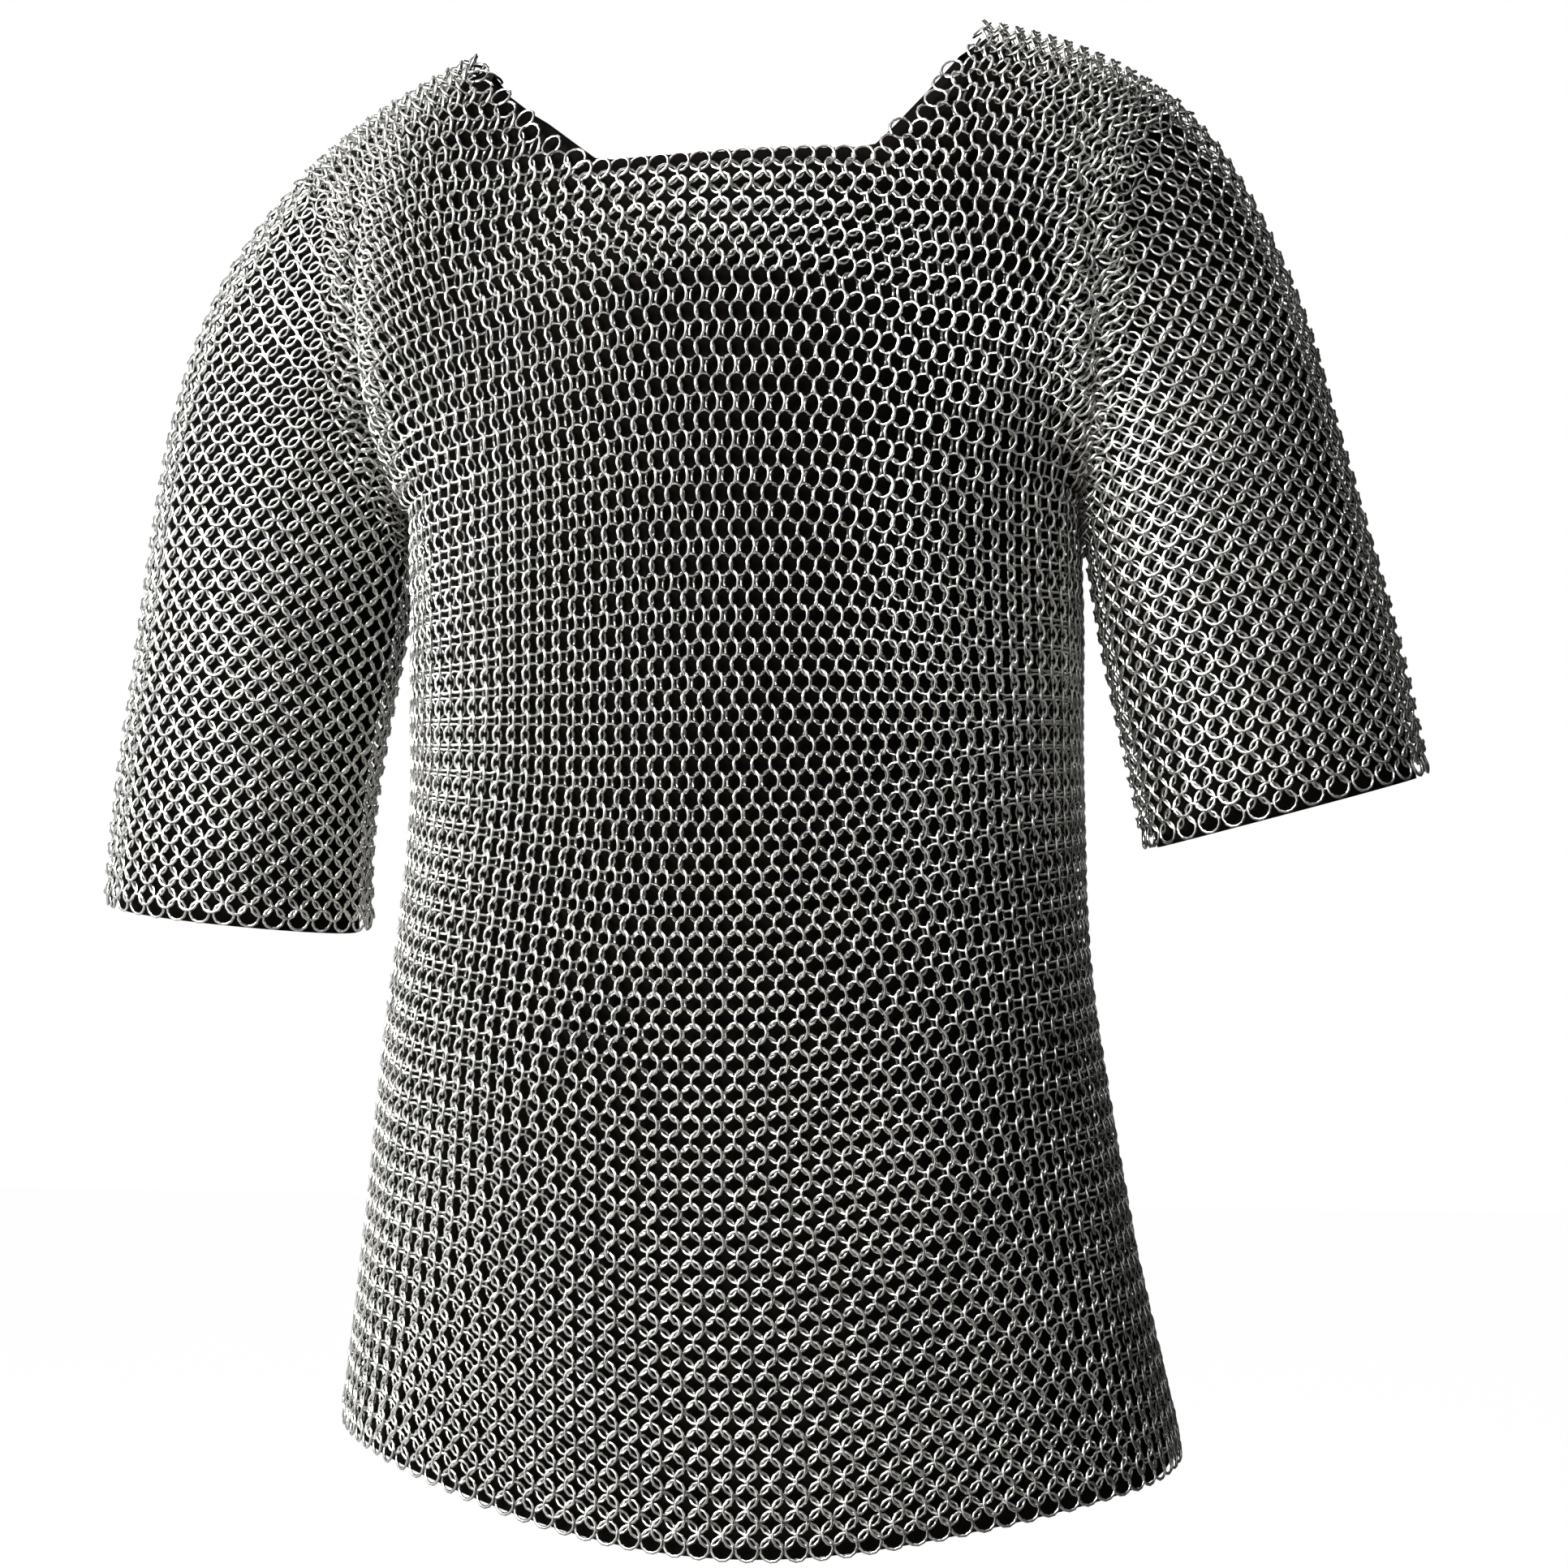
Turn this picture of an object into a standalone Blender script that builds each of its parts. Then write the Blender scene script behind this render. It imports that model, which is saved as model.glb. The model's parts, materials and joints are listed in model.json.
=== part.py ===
"""A short-sleeved mail shirt, hanging from its shoulders over its black cloth lining.

Metres, +Z up, the front facing -Y. The origin is the middle of the neck opening, level with the two
shoulder points that the shirt hangs from. The wearer's left is at +X.

The mail is one cloth of linked rings, described here by its middle surface:
- the yoke, from the armpits up, with the sleeves: a share "across" counts ring columns from the breastbone
  (0) to the armhole (1) and on to the cuff (2), and "around" runs from the front edge of the yoke (-1)
  over the shoulder line (0) to the back edge (1);
- the body, from the armpits down: "across" goes right round it, and "down" runs from the armpit row (0)
  to the hem (1).
Each panel is a shell of the mail's thickness on that surface, with a hairline gap to its neighbours.
"""
import math
from functools import lru_cache

import bpy
import numpy as np

# Ring and cloth
ring_bore = 0.0100
ring_wire = 0.0016
ring_outside = ring_bore + 2.0 * ring_wire
mail_thickness = 0.0045
rib_height = 0.002
panel_gap = 0.0006
lining_thickness = 0.0012
lining_gap = 0.0009

# Neck opening
neck_half_width = 0.141
neck_front_drop = 0.0785
neck_back_half_width = 0.0900
neck_back_drop = 0.056

# Shoulder line, from the neck point over the shoulder cap
cap_outer_drop = 0.210
cap_end_reach = 0.160
cap_end_angle = math.radians(14.0)
cap_half_depth = 0.062

# Body, by its half widths and half depths; a quarter of a ring row runs from the breastbone to the side
quarter_girth = 0.240
armpit_drop = 0.256
chest_half_width = 0.186
chest_half_depth = 0.120
waist_drop = 0.396
hem_front_drop = 0.803
hem_half_width = 0.241
hem_half_depth = 0.152

# How far the side of a ring row hangs below (+) or above (-) its middle
armpit_row_arch = 0.025
hip_row_sag = 0.025
hem_row_sag = 0.0275
hip_drop = 0.505
hip_band_height = 0.056

# How unevenly the shirt hangs: its hem rides up on the wearer's right, and its skirt drifts that way
hem_tilt = 0.0075
hem_ripple = 0.0048
skirt_drift = 0.006

# Sleeves, and the places that left and right have for themselves
underarm_gap = 0.0056
sleeve_bow = 0.002
sleeve_half_depth = 0.060
side_places = {
    "left": {
        "neck_front_x": 0.089, "cap_start_reach": 0.094, "cap_x": 0.3215, "underarm_bow": 0.009,
        "outer_x": 0.372, "outer_drop": 0.414, "inner_x": 0.2227, "inner_drop": 0.452,
    },
    "right": {
        "neck_front_x": 0.058, "cap_start_reach": 0.072, "cap_x": 0.3358, "underarm_bow": 0.024,
        "outer_x": 0.3787, "outer_drop": 0.479, "inner_x": 0.223, "inner_drop": 0.496,
    },
}
strap_fall_angles = {"left": math.radians(14.7), "right": math.radians(26.0)}
underarm_straight = 0.080
underarm_lean = 0.001

# Joints
shoulder_joint_x = 0.195
shoulder_joint_drop = 0.095

# Shape shares and powers
flare_power = 1.6
section_power = 2.15
yoke_power = 2.3
neck_slope_power = 0.85
bulge_start_share = 0.45
wrap_start_share = 0.60
wrap_length_share = 0.50
row_crowding_share = 0.07
hip_share = 0.47
drift_start_share = 0.26
sleeve_joint_share = 1.245
sleeve_middle_share = 1.62
edge_row_height = ring_outside

# Signs, and how finely the curves and the panels are divided
side_signs = {"left": 1.0, "right": -1.0}
front_sign = -1.0
back_sign = 1.0
curve_steps = 96
normal_step_share = 0.004
bib_steps = 4
strap_steps = 4
front_steps = 12
side_steps = 4
ribbed_steps = 12
waist_steps = 7
skirt_lining_steps = 8
hip_steps = 2
sleeve_steps = 4
sleeve_lining_steps = 9
crease_angle = math.radians(40.0)


def ease(share):
    """Smooth step from 0 to 1."""
    share = min(1.0, max(0.0, share))
    return share * share * (3.0 - 2.0 * share)


def bezier(points, share):
    """Point on a cubic curve through the first and last of four points."""
    rest = 1.0 - share
    weights = (rest ** 3, 3.0 * rest * rest * share, 3.0 * rest * share * share, share ** 3)
    return sum(np.array(point) * weight for point, weight in zip(points, weights))


def along(path, share):
    """Point at a share of a polyline's length."""
    steps = np.linalg.norm(np.diff(path, axis=0), axis=1)
    walked = np.concatenate(([0.0], np.cumsum(steps)))
    return np.array([np.interp(share * walked[-1], walked, path[:, axis]) for axis in range(path.shape[1])])


# Shape of the body below the armpits

def flare(drop):
    share = max(0.0, (drop - waist_drop) / (hem_front_drop - waist_drop))
    return share ** flare_power


def half_width_at(drop):
    return chest_half_width + (hem_half_width - chest_half_width) * flare(drop)


def half_depth_at(drop):
    return chest_half_depth + (hem_half_depth - chest_half_depth) * flare(drop)


def section_point(across, half_width, half_depth):
    """Point of a body section at a share of its girth: 0 in the middle of front or back, 1 at the side."""
    turns = np.linspace(0.0, math.pi / 2.0, curve_steps)
    power = 2.0 / section_power
    quarter = np.column_stack((half_width * np.sin(turns) ** power, half_depth * np.cos(turns) ** power))
    place = along(quarter, abs(across))
    return math.copysign(place[0], across), place[1]


def late(down, start):
    """A share down as the share of the way from a start to the hem."""
    return max(0.0, (down - start) / (1.0 - start))


def row_sag(down):
    """Height of a row's middle over its side."""
    arch = -armpit_row_arch * (1.0 - ease(down / hip_share))
    hip = hip_row_sag * ease(down / hip_share)
    hem = (hem_row_sag - hip_row_sag) * ease(late(down, hip_share))
    return arch + hip + hem


def hem_rise(across):
    """How far the hem rides up at a share across, more on the wearer's right than on the left."""
    return hem_ripple * math.sin(math.pi * across) ** 2 - hem_tilt * math.sin(math.pi / 2.0 * across)


def row_drop(down, across):
    """Depth of a ring row below the shoulder points."""
    first = armpit_drop - armpit_row_arch
    share = down * (1.0 + row_crowding_share * (1.0 - down))
    middle = first + (hem_front_drop - first) * share
    sag = row_sag(down) * math.sin(math.pi / 2.0 * across) ** 2
    return middle - sag - hem_rise(across) * ease(late(down, hip_share))


def body_point(across, down, face):
    """Point of the body's middle surface; face is front_sign or back_sign."""
    drop = row_drop(down, across)
    x, y = section_point(across, half_width_at(drop), half_depth_at(drop))
    drift = skirt_drift * math.sin(math.pi * late(down, drift_start_share)) ** 2
    return np.array((x - drift, face * y, -drop))


# Shape of the yoke and the sleeves

@lru_cache(maxsize=None)
def shoulder_paths(side):
    """The shoulder line in two stretches, breastbone to armhole and armhole to cuff, as (x, z) paths."""
    cuff = side_places[side]
    neck = np.array((neck_half_width, 0.0))
    fall = strap_fall_angles[side]
    start = (math.cos(fall), -math.sin(fall))
    end = (math.sin(cap_end_angle), -math.cos(cap_end_angle))
    cap_end = np.array((cuff["cap_x"], -cap_outer_drop))
    reach = cuff["cap_start_reach"]
    bend = (neck, neck + reach * np.array(start), cap_end - cap_end_reach * np.array(end), cap_end)
    curve = [bezier(bend, step / curve_steps) for step in range(curve_steps + 1)]
    cuff_end = np.array((cuff["outer_x"], -cuff["outer_drop"]))
    arm = [cap_end + (cuff_end - cap_end) * share + np.array((sleeve_bow * math.sin(math.pi * share), 0.0))
           for share in np.linspace(0.0, 1.0, curve_steps)[1:]]
    whole = np.array([(0.0, 0.0)] + curve + arm)
    cut = quarter_girth / np.linalg.norm(np.diff(whole, axis=0), axis=1).sum()
    inner = np.array([along(whole, cut * step / curve_steps) for step in range(curve_steps + 1)])
    outer = [along(whole, cut + (1.0 - cut) * step / curve_steps) for step in range(curve_steps + 1)]
    return inner, np.array(outer)


@lru_cache(maxsize=None)
def underarm_path(side):
    """The underarm line, armpit to cuff, as an (x, z) path."""
    cuff = side_places[side]
    armpit = np.array((chest_half_width + underarm_gap, -armpit_drop))
    below = armpit + np.array((underarm_lean, -underarm_straight))
    end = np.array((cuff["inner_x"], -cuff["inner_drop"]))
    out = below + (end - below) / 3.0 + np.array((cuff["underarm_bow"], 0.0))
    bend = (armpit, below, out, end)
    return np.array([bezier(bend, step / curve_steps) for step in range(curve_steps + 1)])


@lru_cache(maxsize=None)
def yoke_column(across, face, side):
    """One column of the yoke or the sleeve, from the shoulder line down to the armpit row."""
    if across <= 1.0:
        top = along(shoulder_paths(side)[0], across)
        foot = body_point(across, 0.0, face)
        foot[0] += underarm_gap * ease((across - wrap_start_share) / (1.0 - wrap_start_share))
    else:
        top = along(shoulder_paths(side)[1], across - 1.0)
        low = along(underarm_path(side), across - 1.0)
        foot = np.array((low[0], 0.0, low[1]))
    depth = cap_half_depth + (sleeve_half_depth - cap_half_depth) * max(0.0, across - 1.0)
    bulge = depth * ease((across - bulge_start_share) / (1.0 - bulge_start_share))
    wrap = ease((across - wrap_start_share) / wrap_length_share)
    power = 2.0 / yoke_power
    steps = np.linspace(0.0, 1.0, curve_steps + 1)
    quarter_out = np.sin(math.pi / 2.0 * steps) ** power
    quarter_down = 1.0 - np.clip(np.cos(math.pi / 2.0 * steps), 0.0, 1.0) ** power
    half_out = np.sin(math.pi * steps)
    half_down = (1.0 - np.cos(math.pi * steps)) / 2.0
    down = (1.0 - wrap) * quarter_down + wrap * half_down
    out = foot[1] * ((1.0 - wrap) * quarter_out + wrap * steps) + face * bulge * half_out
    x = top[0] + (foot[0] - top[0]) * down
    z = top[1] + (foot[2] - top[1]) * down
    return np.column_stack((x, out, z))


def yoke_point(across, around):
    """Point of the yoke's middle surface. A negative across is the wearer's right."""
    around = (around + 1.0) % 2.0 - 1.0 if abs(around) > 1.0 else around
    side = "left" if across >= 0.0 else "right"
    face = front_sign if around < 0.0 else back_sign
    place = along(yoke_column(abs(across), face, side), abs(around))
    place[0] *= side_signs[side]
    return place


def normal_of(surface, across, other):
    """Outward unit normal of a surface given by two shares, facing away from the wearer."""
    step = normal_step_share
    first = surface(across + step, other) - surface(across - step, other)
    second = surface(across, other + step) - surface(across, other - step)
    normal = np.cross(first, second)
    return normal / np.linalg.norm(normal)


def yoke_normal(across, around):
    """Normal of the yoke. In the armpit it is measured on the near side of the crease, which isn't smooth."""
    step = normal_step_share
    around = (around + 1.0) % 2.0 - 1.0 if abs(around) > 1.0 else around
    away = step * ease((abs(around) - strap_end_share) / crease_start_length_share)
    low, high = (0.0, 1.0 - away) if abs(across) <= 1.0 else (1.0 + away, 2.0 - step)
    inside = math.copysign(min(max(abs(across), low), high), across)
    if abs(around) <= 1.0 - step:
        return normal_of(yoke_point, inside, around)
    if abs(across) <= 1.0:
        return normal_of(yoke_point, inside, math.copysign(1.0 - step, around))
    both = normal_of(yoke_point, inside, 1.0 - step) + normal_of(yoke_point, inside, step - 1.0)
    return both / np.linalg.norm(both)


def body_round(across, down):
    """Body surface with across running right round: 0 front, 1 left side, 2 back, 3 right side."""
    turn = across % 4.0
    if turn <= 1.0:
        return body_point(turn, down, front_sign)
    if turn <= 3.0:
        return body_point(2.0 - turn, down, back_sign)
    return body_point(turn - 4.0, down, front_sign)


def body_normal(across, down):
    inside = max(normal_step_share, min(1.0 - normal_step_share, down))
    return -normal_of(body_round, across, inside)


# Sizes that follow from the ones above

yoke_height = armpit_drop
body_height = hem_front_drop - armpit_drop + armpit_row_arch
half_gap_across = panel_gap / 2.0 / quarter_girth
half_gap_around = panel_gap / 2.0 / yoke_height
half_gap_down = panel_gap / 2.0 / body_height
neck_share = neck_half_width / quarter_girth
edge_around = edge_row_height / yoke_height
edge_down = edge_row_height / body_height
shortest_underarm = min(place["inner_drop"] for place in side_places.values()) - armpit_drop
half_gap_sleeve = panel_gap / 2.0 / shortest_underarm
edge_across = edge_row_height / (cap_outer_drop + shortest_underarm)
hip_pivot = (0.0, 0.0, -hip_drop)
lining_offset = -(mail_thickness + lining_thickness) / 2.0 - lining_gap
hip_band_down = hip_band_height / body_height

# Where the panels are cut, as shares
strap_end_share = 0.50
waist_end_share = hip_share - hip_band_down / 2.0
skirt_start_share = hip_share + hip_band_down / 2.0
armpit_cut_share = 0.065
armpit_cut_start_share = 0.75
crease_cut_share = 0.060
crease_cut_start_share = 0.35
crease_start_length_share = 0.15
side_start_share = 0.75
armpit_clear_share = 0.012
neck_slope_shares = (0.25, 0.5, 0.72, 0.88, 1.0)
bib_row_shares = (0.0, 0.06, 0.13, 0.22, 0.33, 0.47, 0.64, 0.82, 1.0)
ridge_shares = (0.0, 0.06, 0.13, 0.21, 0.30, 0.40)

# Colours
ring_steel_colour = (0.62, 0.62, 0.60, 1.0)
edge_steel_colour = (0.70, 0.70, 0.68, 1.0)
lining_colour = (0.012, 0.011, 0.010, 1.0)


def spread(low, high, steps):
    """Evenly spread shares from low to high."""
    return [low + (high - low) * step / steps for step in range(steps + 1)]


def material(name, colour, metallic, roughness):
    made = bpy.data.materials.new(name)
    made.use_nodes = True
    shader = made.node_tree.nodes["Principled BSDF"]
    shader.inputs["Base Color"].default_value = colour
    shader.inputs["Metallic"].default_value = metallic
    shader.inputs["Roughness"].default_value = roughness
    return made


def loft(outer, inner, closed):
    """Vertices and triangles of a shell between two grids of points, the outer one facing out.

    The grids are lofts between unlike sections: no two columns of the shirt have the same shape. A closed
    grid's rows run right round a tube, and the other shells get a rim on all four edges.
    """
    rows, columns = len(outer), len(outer[0])
    vertices = [tuple(point) for grid in (outer, inner) for row in grid for point in row]
    layer = rows * columns
    faces = []

    def index(row, column, inside):
        return inside * layer + row * columns + column % columns

    def quad(first, second, third, fourth):
        faces.append((first, second, third))
        faces.append((first, third, fourth))

    for row in range(rows - 1):
        for column in range(columns if closed else columns - 1):
            quad(index(row, column, 0), index(row, column + 1, 0),
                 index(row + 1, column + 1, 0), index(row + 1, column, 0))
            faces.append((index(row, column, 1), index(row + 1, column + 1, 1), index(row, column + 1, 1)))
            faces.append((index(row, column, 1), index(row + 1, column, 1), index(row + 1, column + 1, 1)))
    for column in range(columns if closed else columns - 1):
        quad(index(0, column, 0), index(0, column, 1), index(0, column + 1, 1), index(0, column + 1, 0))
        last = rows - 1
        quad(index(last, column, 0), index(last, column + 1, 0),
             index(last, column + 1, 1), index(last, column, 1))
    if not closed:
        end = columns - 1
        for row in range(rows - 1):
            quad(index(row, 0, 0), index(row + 1, 0, 0), index(row + 1, 0, 1), index(row, 0, 1))
            quad(index(row, end, 0), index(row, end, 1), index(row + 1, end, 1), index(row + 1, end, 0))
    return vertices, faces


def shell(name, shares, surface, normal, offset, thickness, look, closed=False, pivot=(0.0, 0.0, 0.0),
          rib=0.0):
    """One panel: a shell over a grid of shares, at an offset from the middle surface.

    A rib is how far every second row of the grid stands out over the rows beside it, on the outer face.
    """
    points = [[surface(*pair) for pair in row] for row in shares]
    normals = [[normal(*pair) for pair in row] for row in shares]
    rises = [offset + (thickness + (rib if row % 2 else -rib)) / 2.0 for row in range(len(shares))]
    fall = offset - thickness / 2.0
    shift = np.array(pivot)
    outer = [[p + n * rise - shift for p, n in zip(*rows)] for rise, rows in zip(rises, zip(points, normals))]
    inner = [[p + n * fall - shift for p, n in zip(*rows)] for rows in zip(points, normals)]
    vertices, faces = loft(outer, inner, closed)
    mesh = bpy.data.meshes.new(name)
    mesh.from_pydata(vertices, [], faces)
    mesh.update()
    mesh.shade_smooth()
    mesh.set_sharp_from_angle(angle=crease_angle)
    mesh.materials.append(look)
    panel = bpy.data.objects.new(name, mesh)
    panel.location = pivot
    shirt.objects.link(panel)
    return panel


def mail(name, shares, surface, normal, look, closed=False, pivot=(0.0, 0.0, 0.0), rib=0.0):
    return shell(name, shares, surface, normal, 0.0, mail_thickness, look, closed, pivot, rib)


def lining(name, shares, surface, normal, closed=False, pivot=(0.0, 0.0, 0.0)):
    return shell(name, shares, surface, normal, lining_offset, lining_thickness, lining_cloth, closed, pivot)


def place_on_column(across, face, drop):
    """Share of a yoke column at a depth below the shoulder points."""
    column = yoke_column(abs(across), face, "left")
    steps = np.linalg.norm(np.diff(column, axis=0), axis=1)
    walked = np.concatenate(([0.0], np.cumsum(steps)))
    return float(np.interp(drop, -column[:, 2], walked / walked[-1]))


def neck_corner(across, face):
    """Share across where the level edge of the neck opening turns up to the shoulder on that side."""
    front = side_places["left" if across >= 0.0 else "right"]["neck_front_x"]
    return (front if face == front_sign else neck_back_half_width) / quarter_girth


def neck_edge(across, face):
    """Share of a yoke column where the neck opening's edge crosses it."""
    deep = neck_front_drop if face == front_sign else neck_back_drop
    slope = (neck_share - abs(across)) / (neck_share - neck_corner(across, face))
    return place_on_column(across, face, deep * min(1.0, max(0.0, slope)) ** neck_slope_power)


def yoke_foot(across):
    """Share of a yoke column where the panel ends above the armpit row, a little higher in the armpit."""
    cut = armpit_cut_share * ease((abs(across) - armpit_cut_start_share) / (1.0 - armpit_cut_start_share))
    return 1.0 - half_gap_around - cut


def armhole(around):
    """Share across where the sleeve's shoulder starts, a little further out in the armpit crease."""
    cut = crease_cut_share * ease((abs(around) - crease_cut_start_share) / (1.0 - crease_cut_start_share))
    return 1.0 + half_gap_across + cut


# Panels of the yoke

def bib_half(face, sign):
    """Stations across one half of the panel under the neck opening, from the breastbone out."""
    corner = neck_corner(sign, face)
    slope = neck_share - half_gap_across - corner
    return spread(0.0, corner, bib_steps) + [corner + slope * share for share in neck_slope_shares]


def bib_shares(face, low, high):
    """Grid of the panel under the neck opening; low and high give its ends on each column."""
    rows = []
    right = [-across for across in bib_half(face, side_signs["right"])]
    for step in bib_row_shares:
        row = []
        for across in right[:0:-1] + bib_half(face, side_signs["left"]):
            share = low(across) + (high(across) - low(across)) * step
            row.append((across, face * share))
        rows.append(row)
    return rows if face == back_sign else [row[::-1] for row in rows]


def make_bib(face, word):
    def edge(across):
        return neck_edge(across, face) + half_gap_around

    def under_edge(across):
        return edge(across) + edge_around

    def bib_top(across):
        return under_edge(across) + 2.0 * half_gap_around

    rows = bib_shares(face, edge, under_edge)
    bib = bib_shares(face, bib_top, yoke_foot)
    mail("neck_edge_row_" + word, [rows[0], rows[-1]], yoke_point, yoke_normal, edge_steel)
    mail(word + "_bib", bib, yoke_point, yoke_normal, ring_steel)
    lining(word + "_bib_lining", [rows[0]] + bib, yoke_point, yoke_normal)


def strip_shares(side, across_pair, around_stations):
    """Grid of a yoke panel at the side of the neck; the ends of its columns can follow the armpit cut."""
    low, high = across_pair
    sign = side_signs[side]
    rows = []
    for around in around_stations:
        row = []
        for across in spread(low + half_gap_across, high - half_gap_across, strap_steps):
            beyond = max(0.0, abs(around) - strap_end_share) / (1.0 - strap_end_share)
            share = abs(around) + beyond * (yoke_foot(across) - 1.0)
            row.append((sign * across, math.copysign(share, around)))
        rows.append(row if sign > 0.0 else row[::-1])
    return rows


def ridge_stations():
    """Stations over the shoulder line, close together where the cloth bends most."""
    return [-share for share in ridge_shares[:0:-1]] + list(ridge_shares)


def make_strap(side):
    pair = (neck_share, 1.0)
    ridge = ridge_stations()
    cut = strap_end_share - half_gap_around
    strap = [-cut] + ridge + [cut]
    below = spread(strap_end_share + half_gap_around, 1.0, strap_steps)
    mail(side + "_shoulder_strap", strip_shares(side, pair, strap), yoke_point, yoke_normal, ring_steel)
    mail(side + "_back_panel", strip_shares(side, pair, below), yoke_point, yoke_normal, ring_steel)
    chest = [-share for share in below[::-1]]
    mail(side + "_chest_panel", strip_shares(side, pair, chest), yoke_point, yoke_normal, ring_steel)
    whole = strip_shares(side, pair, chest + ridge + below)
    lining(side + "_shoulder_lining", whole, yoke_point, yoke_normal)


# Panels of the body

def body_shares(across_stations, down_stations, top=None):
    """Grid of a body panel, from its foot up; top gives its upper end on each column."""
    rows = []
    for down in down_stations[::-1]:
        low = down_stations[0]
        high = down_stations[-1]
        row = []
        for across in across_stations:
            start = top(across) if top else low
            row.append((across, start + (high - start) * (down - low) / (high - low)))
        rows.append(row)
    return rows


def girth_spans():
    """The four panels of a band of the body, by name, each with its stations across."""
    corner = neck_share
    gap = half_gap_across
    front = spread(gap - corner, corner - gap, front_steps)
    side = spread(corner + gap, 1.0, side_steps) + spread(1.0, 2.0 - corner - gap, side_steps)[1:]
    return {
        "front": front,
        "left_side": side,
        "back": [across + 2.0 for across in front],
        "right_side": [across + 2.0 for across in side],
    }


def waist_top(across):
    """The body starts one gap below the yoke, a little lower in the armpit than in front."""
    nearness = 1.0 - abs(across % 2.0 - 1.0)
    return half_gap_down + armpit_clear_share * ease((nearness - side_start_share) / (1.0 - side_start_share))


def round_stations():
    return [across for span in girth_spans().values() for across in span]


def make_body():
    """The waist and the skirt; ribs run round them as the ring rows do, a rib for every five or six rows.

    The waist's sides stay smooth, because the sleeves hang against them.
    """
    ring = round_stations()
    waist_foot = waist_end_share - half_gap_down
    waist = spread(half_gap_down, waist_foot, waist_steps)
    ribbed_waist = spread(half_gap_down, waist_foot, ribbed_steps)
    band = spread(waist_end_share + half_gap_down, skirt_start_share - half_gap_down, hip_steps)
    skirt_top = skirt_start_share + half_gap_down
    skirt = spread(skirt_top, 1.0 - edge_down - half_gap_down, ribbed_steps)
    hem = [1.0 - edge_down + half_gap_down, 1.0]
    skirt_inside = spread(skirt_top, 1.0, skirt_lining_steps)
    for word, stations in girth_spans().items():
        smooth = "side" in word
        mail("waist_" + word, body_shares(stations, waist if smooth else ribbed_waist, waist_top),
             body_round, body_normal, ring_steel, rib=0.0 if smooth else rib_height)
        mail("skirt_" + word, body_shares(stations, skirt), body_round, body_normal, ring_steel,
             pivot=hip_pivot, rib=rib_height)
    mail("hip_flex_band", body_shares(ring, band), body_round, body_normal, ring_steel, closed=True)
    mail("hem_edge_row", body_shares(ring, hem), body_round, body_normal, edge_steel, closed=True,
         pivot=hip_pivot)
    lining("waist_lining", body_shares(ring, waist, waist_top), body_round, body_normal, closed=True)
    lining("hip_flex_lining", body_shares(ring, band), body_round, body_normal, closed=True)
    lining("skirt_lining", body_shares(ring, skirt_inside), body_round, body_normal, closed=True,
           pivot=hip_pivot)


# Panels of the sleeves

def sleeve_half(side, span, stations):
    """Grid of a sleeve panel; its rows run along the arm, as the ring rows do."""
    sign = side_signs[side]
    rows = []
    for around in stations:
        row = [(sign * across, around) for across in spread(span[0], span[1], sleeve_steps)]
        rows.append(row if sign > 0.0 else row[::-1])
    return rows


def sleeve_tube(side, start, end, steps, stations):
    """Grid of a sleeve's whole girth; start and end give its edges as shares across."""
    sign = side_signs[side]
    rows = []
    for step in spread(1.0, 0.0, steps):
        row = []
        for around in stations:
            low = start(around)
            row.append((sign * (low + (end - low) * step), around))
        rows.append(row)
    return rows if sign > 0.0 else rows[::-1]


def make_sleeve(side):
    gap = half_gap_sleeve
    pivot = (side_signs[side] * shoulder_joint_x, 0.0, -shoulder_joint_drop)
    half = [-strap_end_share] + ridge_stations() + [strap_end_share]
    edge = half_gap_around
    outer = [half[0] + edge] + half[1:-1] + [half[-1] - edge]
    inner = [around + 1.0 for around in outer]
    spans = {
        "upper_sleeve": (sleeve_joint_share + gap, sleeve_middle_share - gap),
        "lower_sleeve": (sleeve_middle_share + gap, 2.0 - edge_across - gap),
    }
    for word, span in spans.items():
        for facing, stations in (("outer", outer), ("inner", inner)):
            mail("%s_%s_%s" % (side, word, facing), sleeve_half(side, span, stations),
                 yoke_point, yoke_normal, ring_steel, pivot=pivot)
    ring = half[:-1] + [around + 1.0 for around in half[:-1]]
    cuff = sleeve_tube(side, lambda around: 2.0 - edge_across + gap, 2.0, 1, ring)
    mail(side + "_cuff_edge_row", cuff, yoke_point, yoke_normal, edge_steel, closed=True, pivot=pivot)
    inside = sleeve_tube(side, lambda around: sleeve_joint_share + gap, 2.0, sleeve_lining_steps, ring)
    lining(side + "_sleeve_lining", inside, yoke_point, yoke_normal, closed=True, pivot=pivot)
    flex = sleeve_tube(side, lambda around: armhole((around + 1.0) % 2.0 - 1.0),
                       sleeve_joint_share - gap, sleeve_steps, ring)
    mail(side + "_shoulder_flex", flex, yoke_point, yoke_normal, ring_steel, closed=True, pivot=pivot)
    lining(side + "_shoulder_flex_lining", flex, yoke_point, yoke_normal, closed=True, pivot=pivot)


for old in list(bpy.data.objects):
    bpy.data.objects.remove(old)
shirt = bpy.data.collections.new("mail_shirt")
bpy.context.scene.collection.children.link(shirt)
ring_steel = material("ring_steel", ring_steel_colour, 1.0, 0.28)
edge_steel = material("edge_ring_steel", edge_steel_colour, 1.0, 0.24)
lining_cloth = material("black_lining_cloth", lining_colour, 0.0, 0.9)

make_bib(front_sign, "front")
make_bib(back_sign, "back")
make_body()
for shirt_side in side_signs:
    make_strap(shirt_side)
    make_sleeve(shirt_side)
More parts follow.
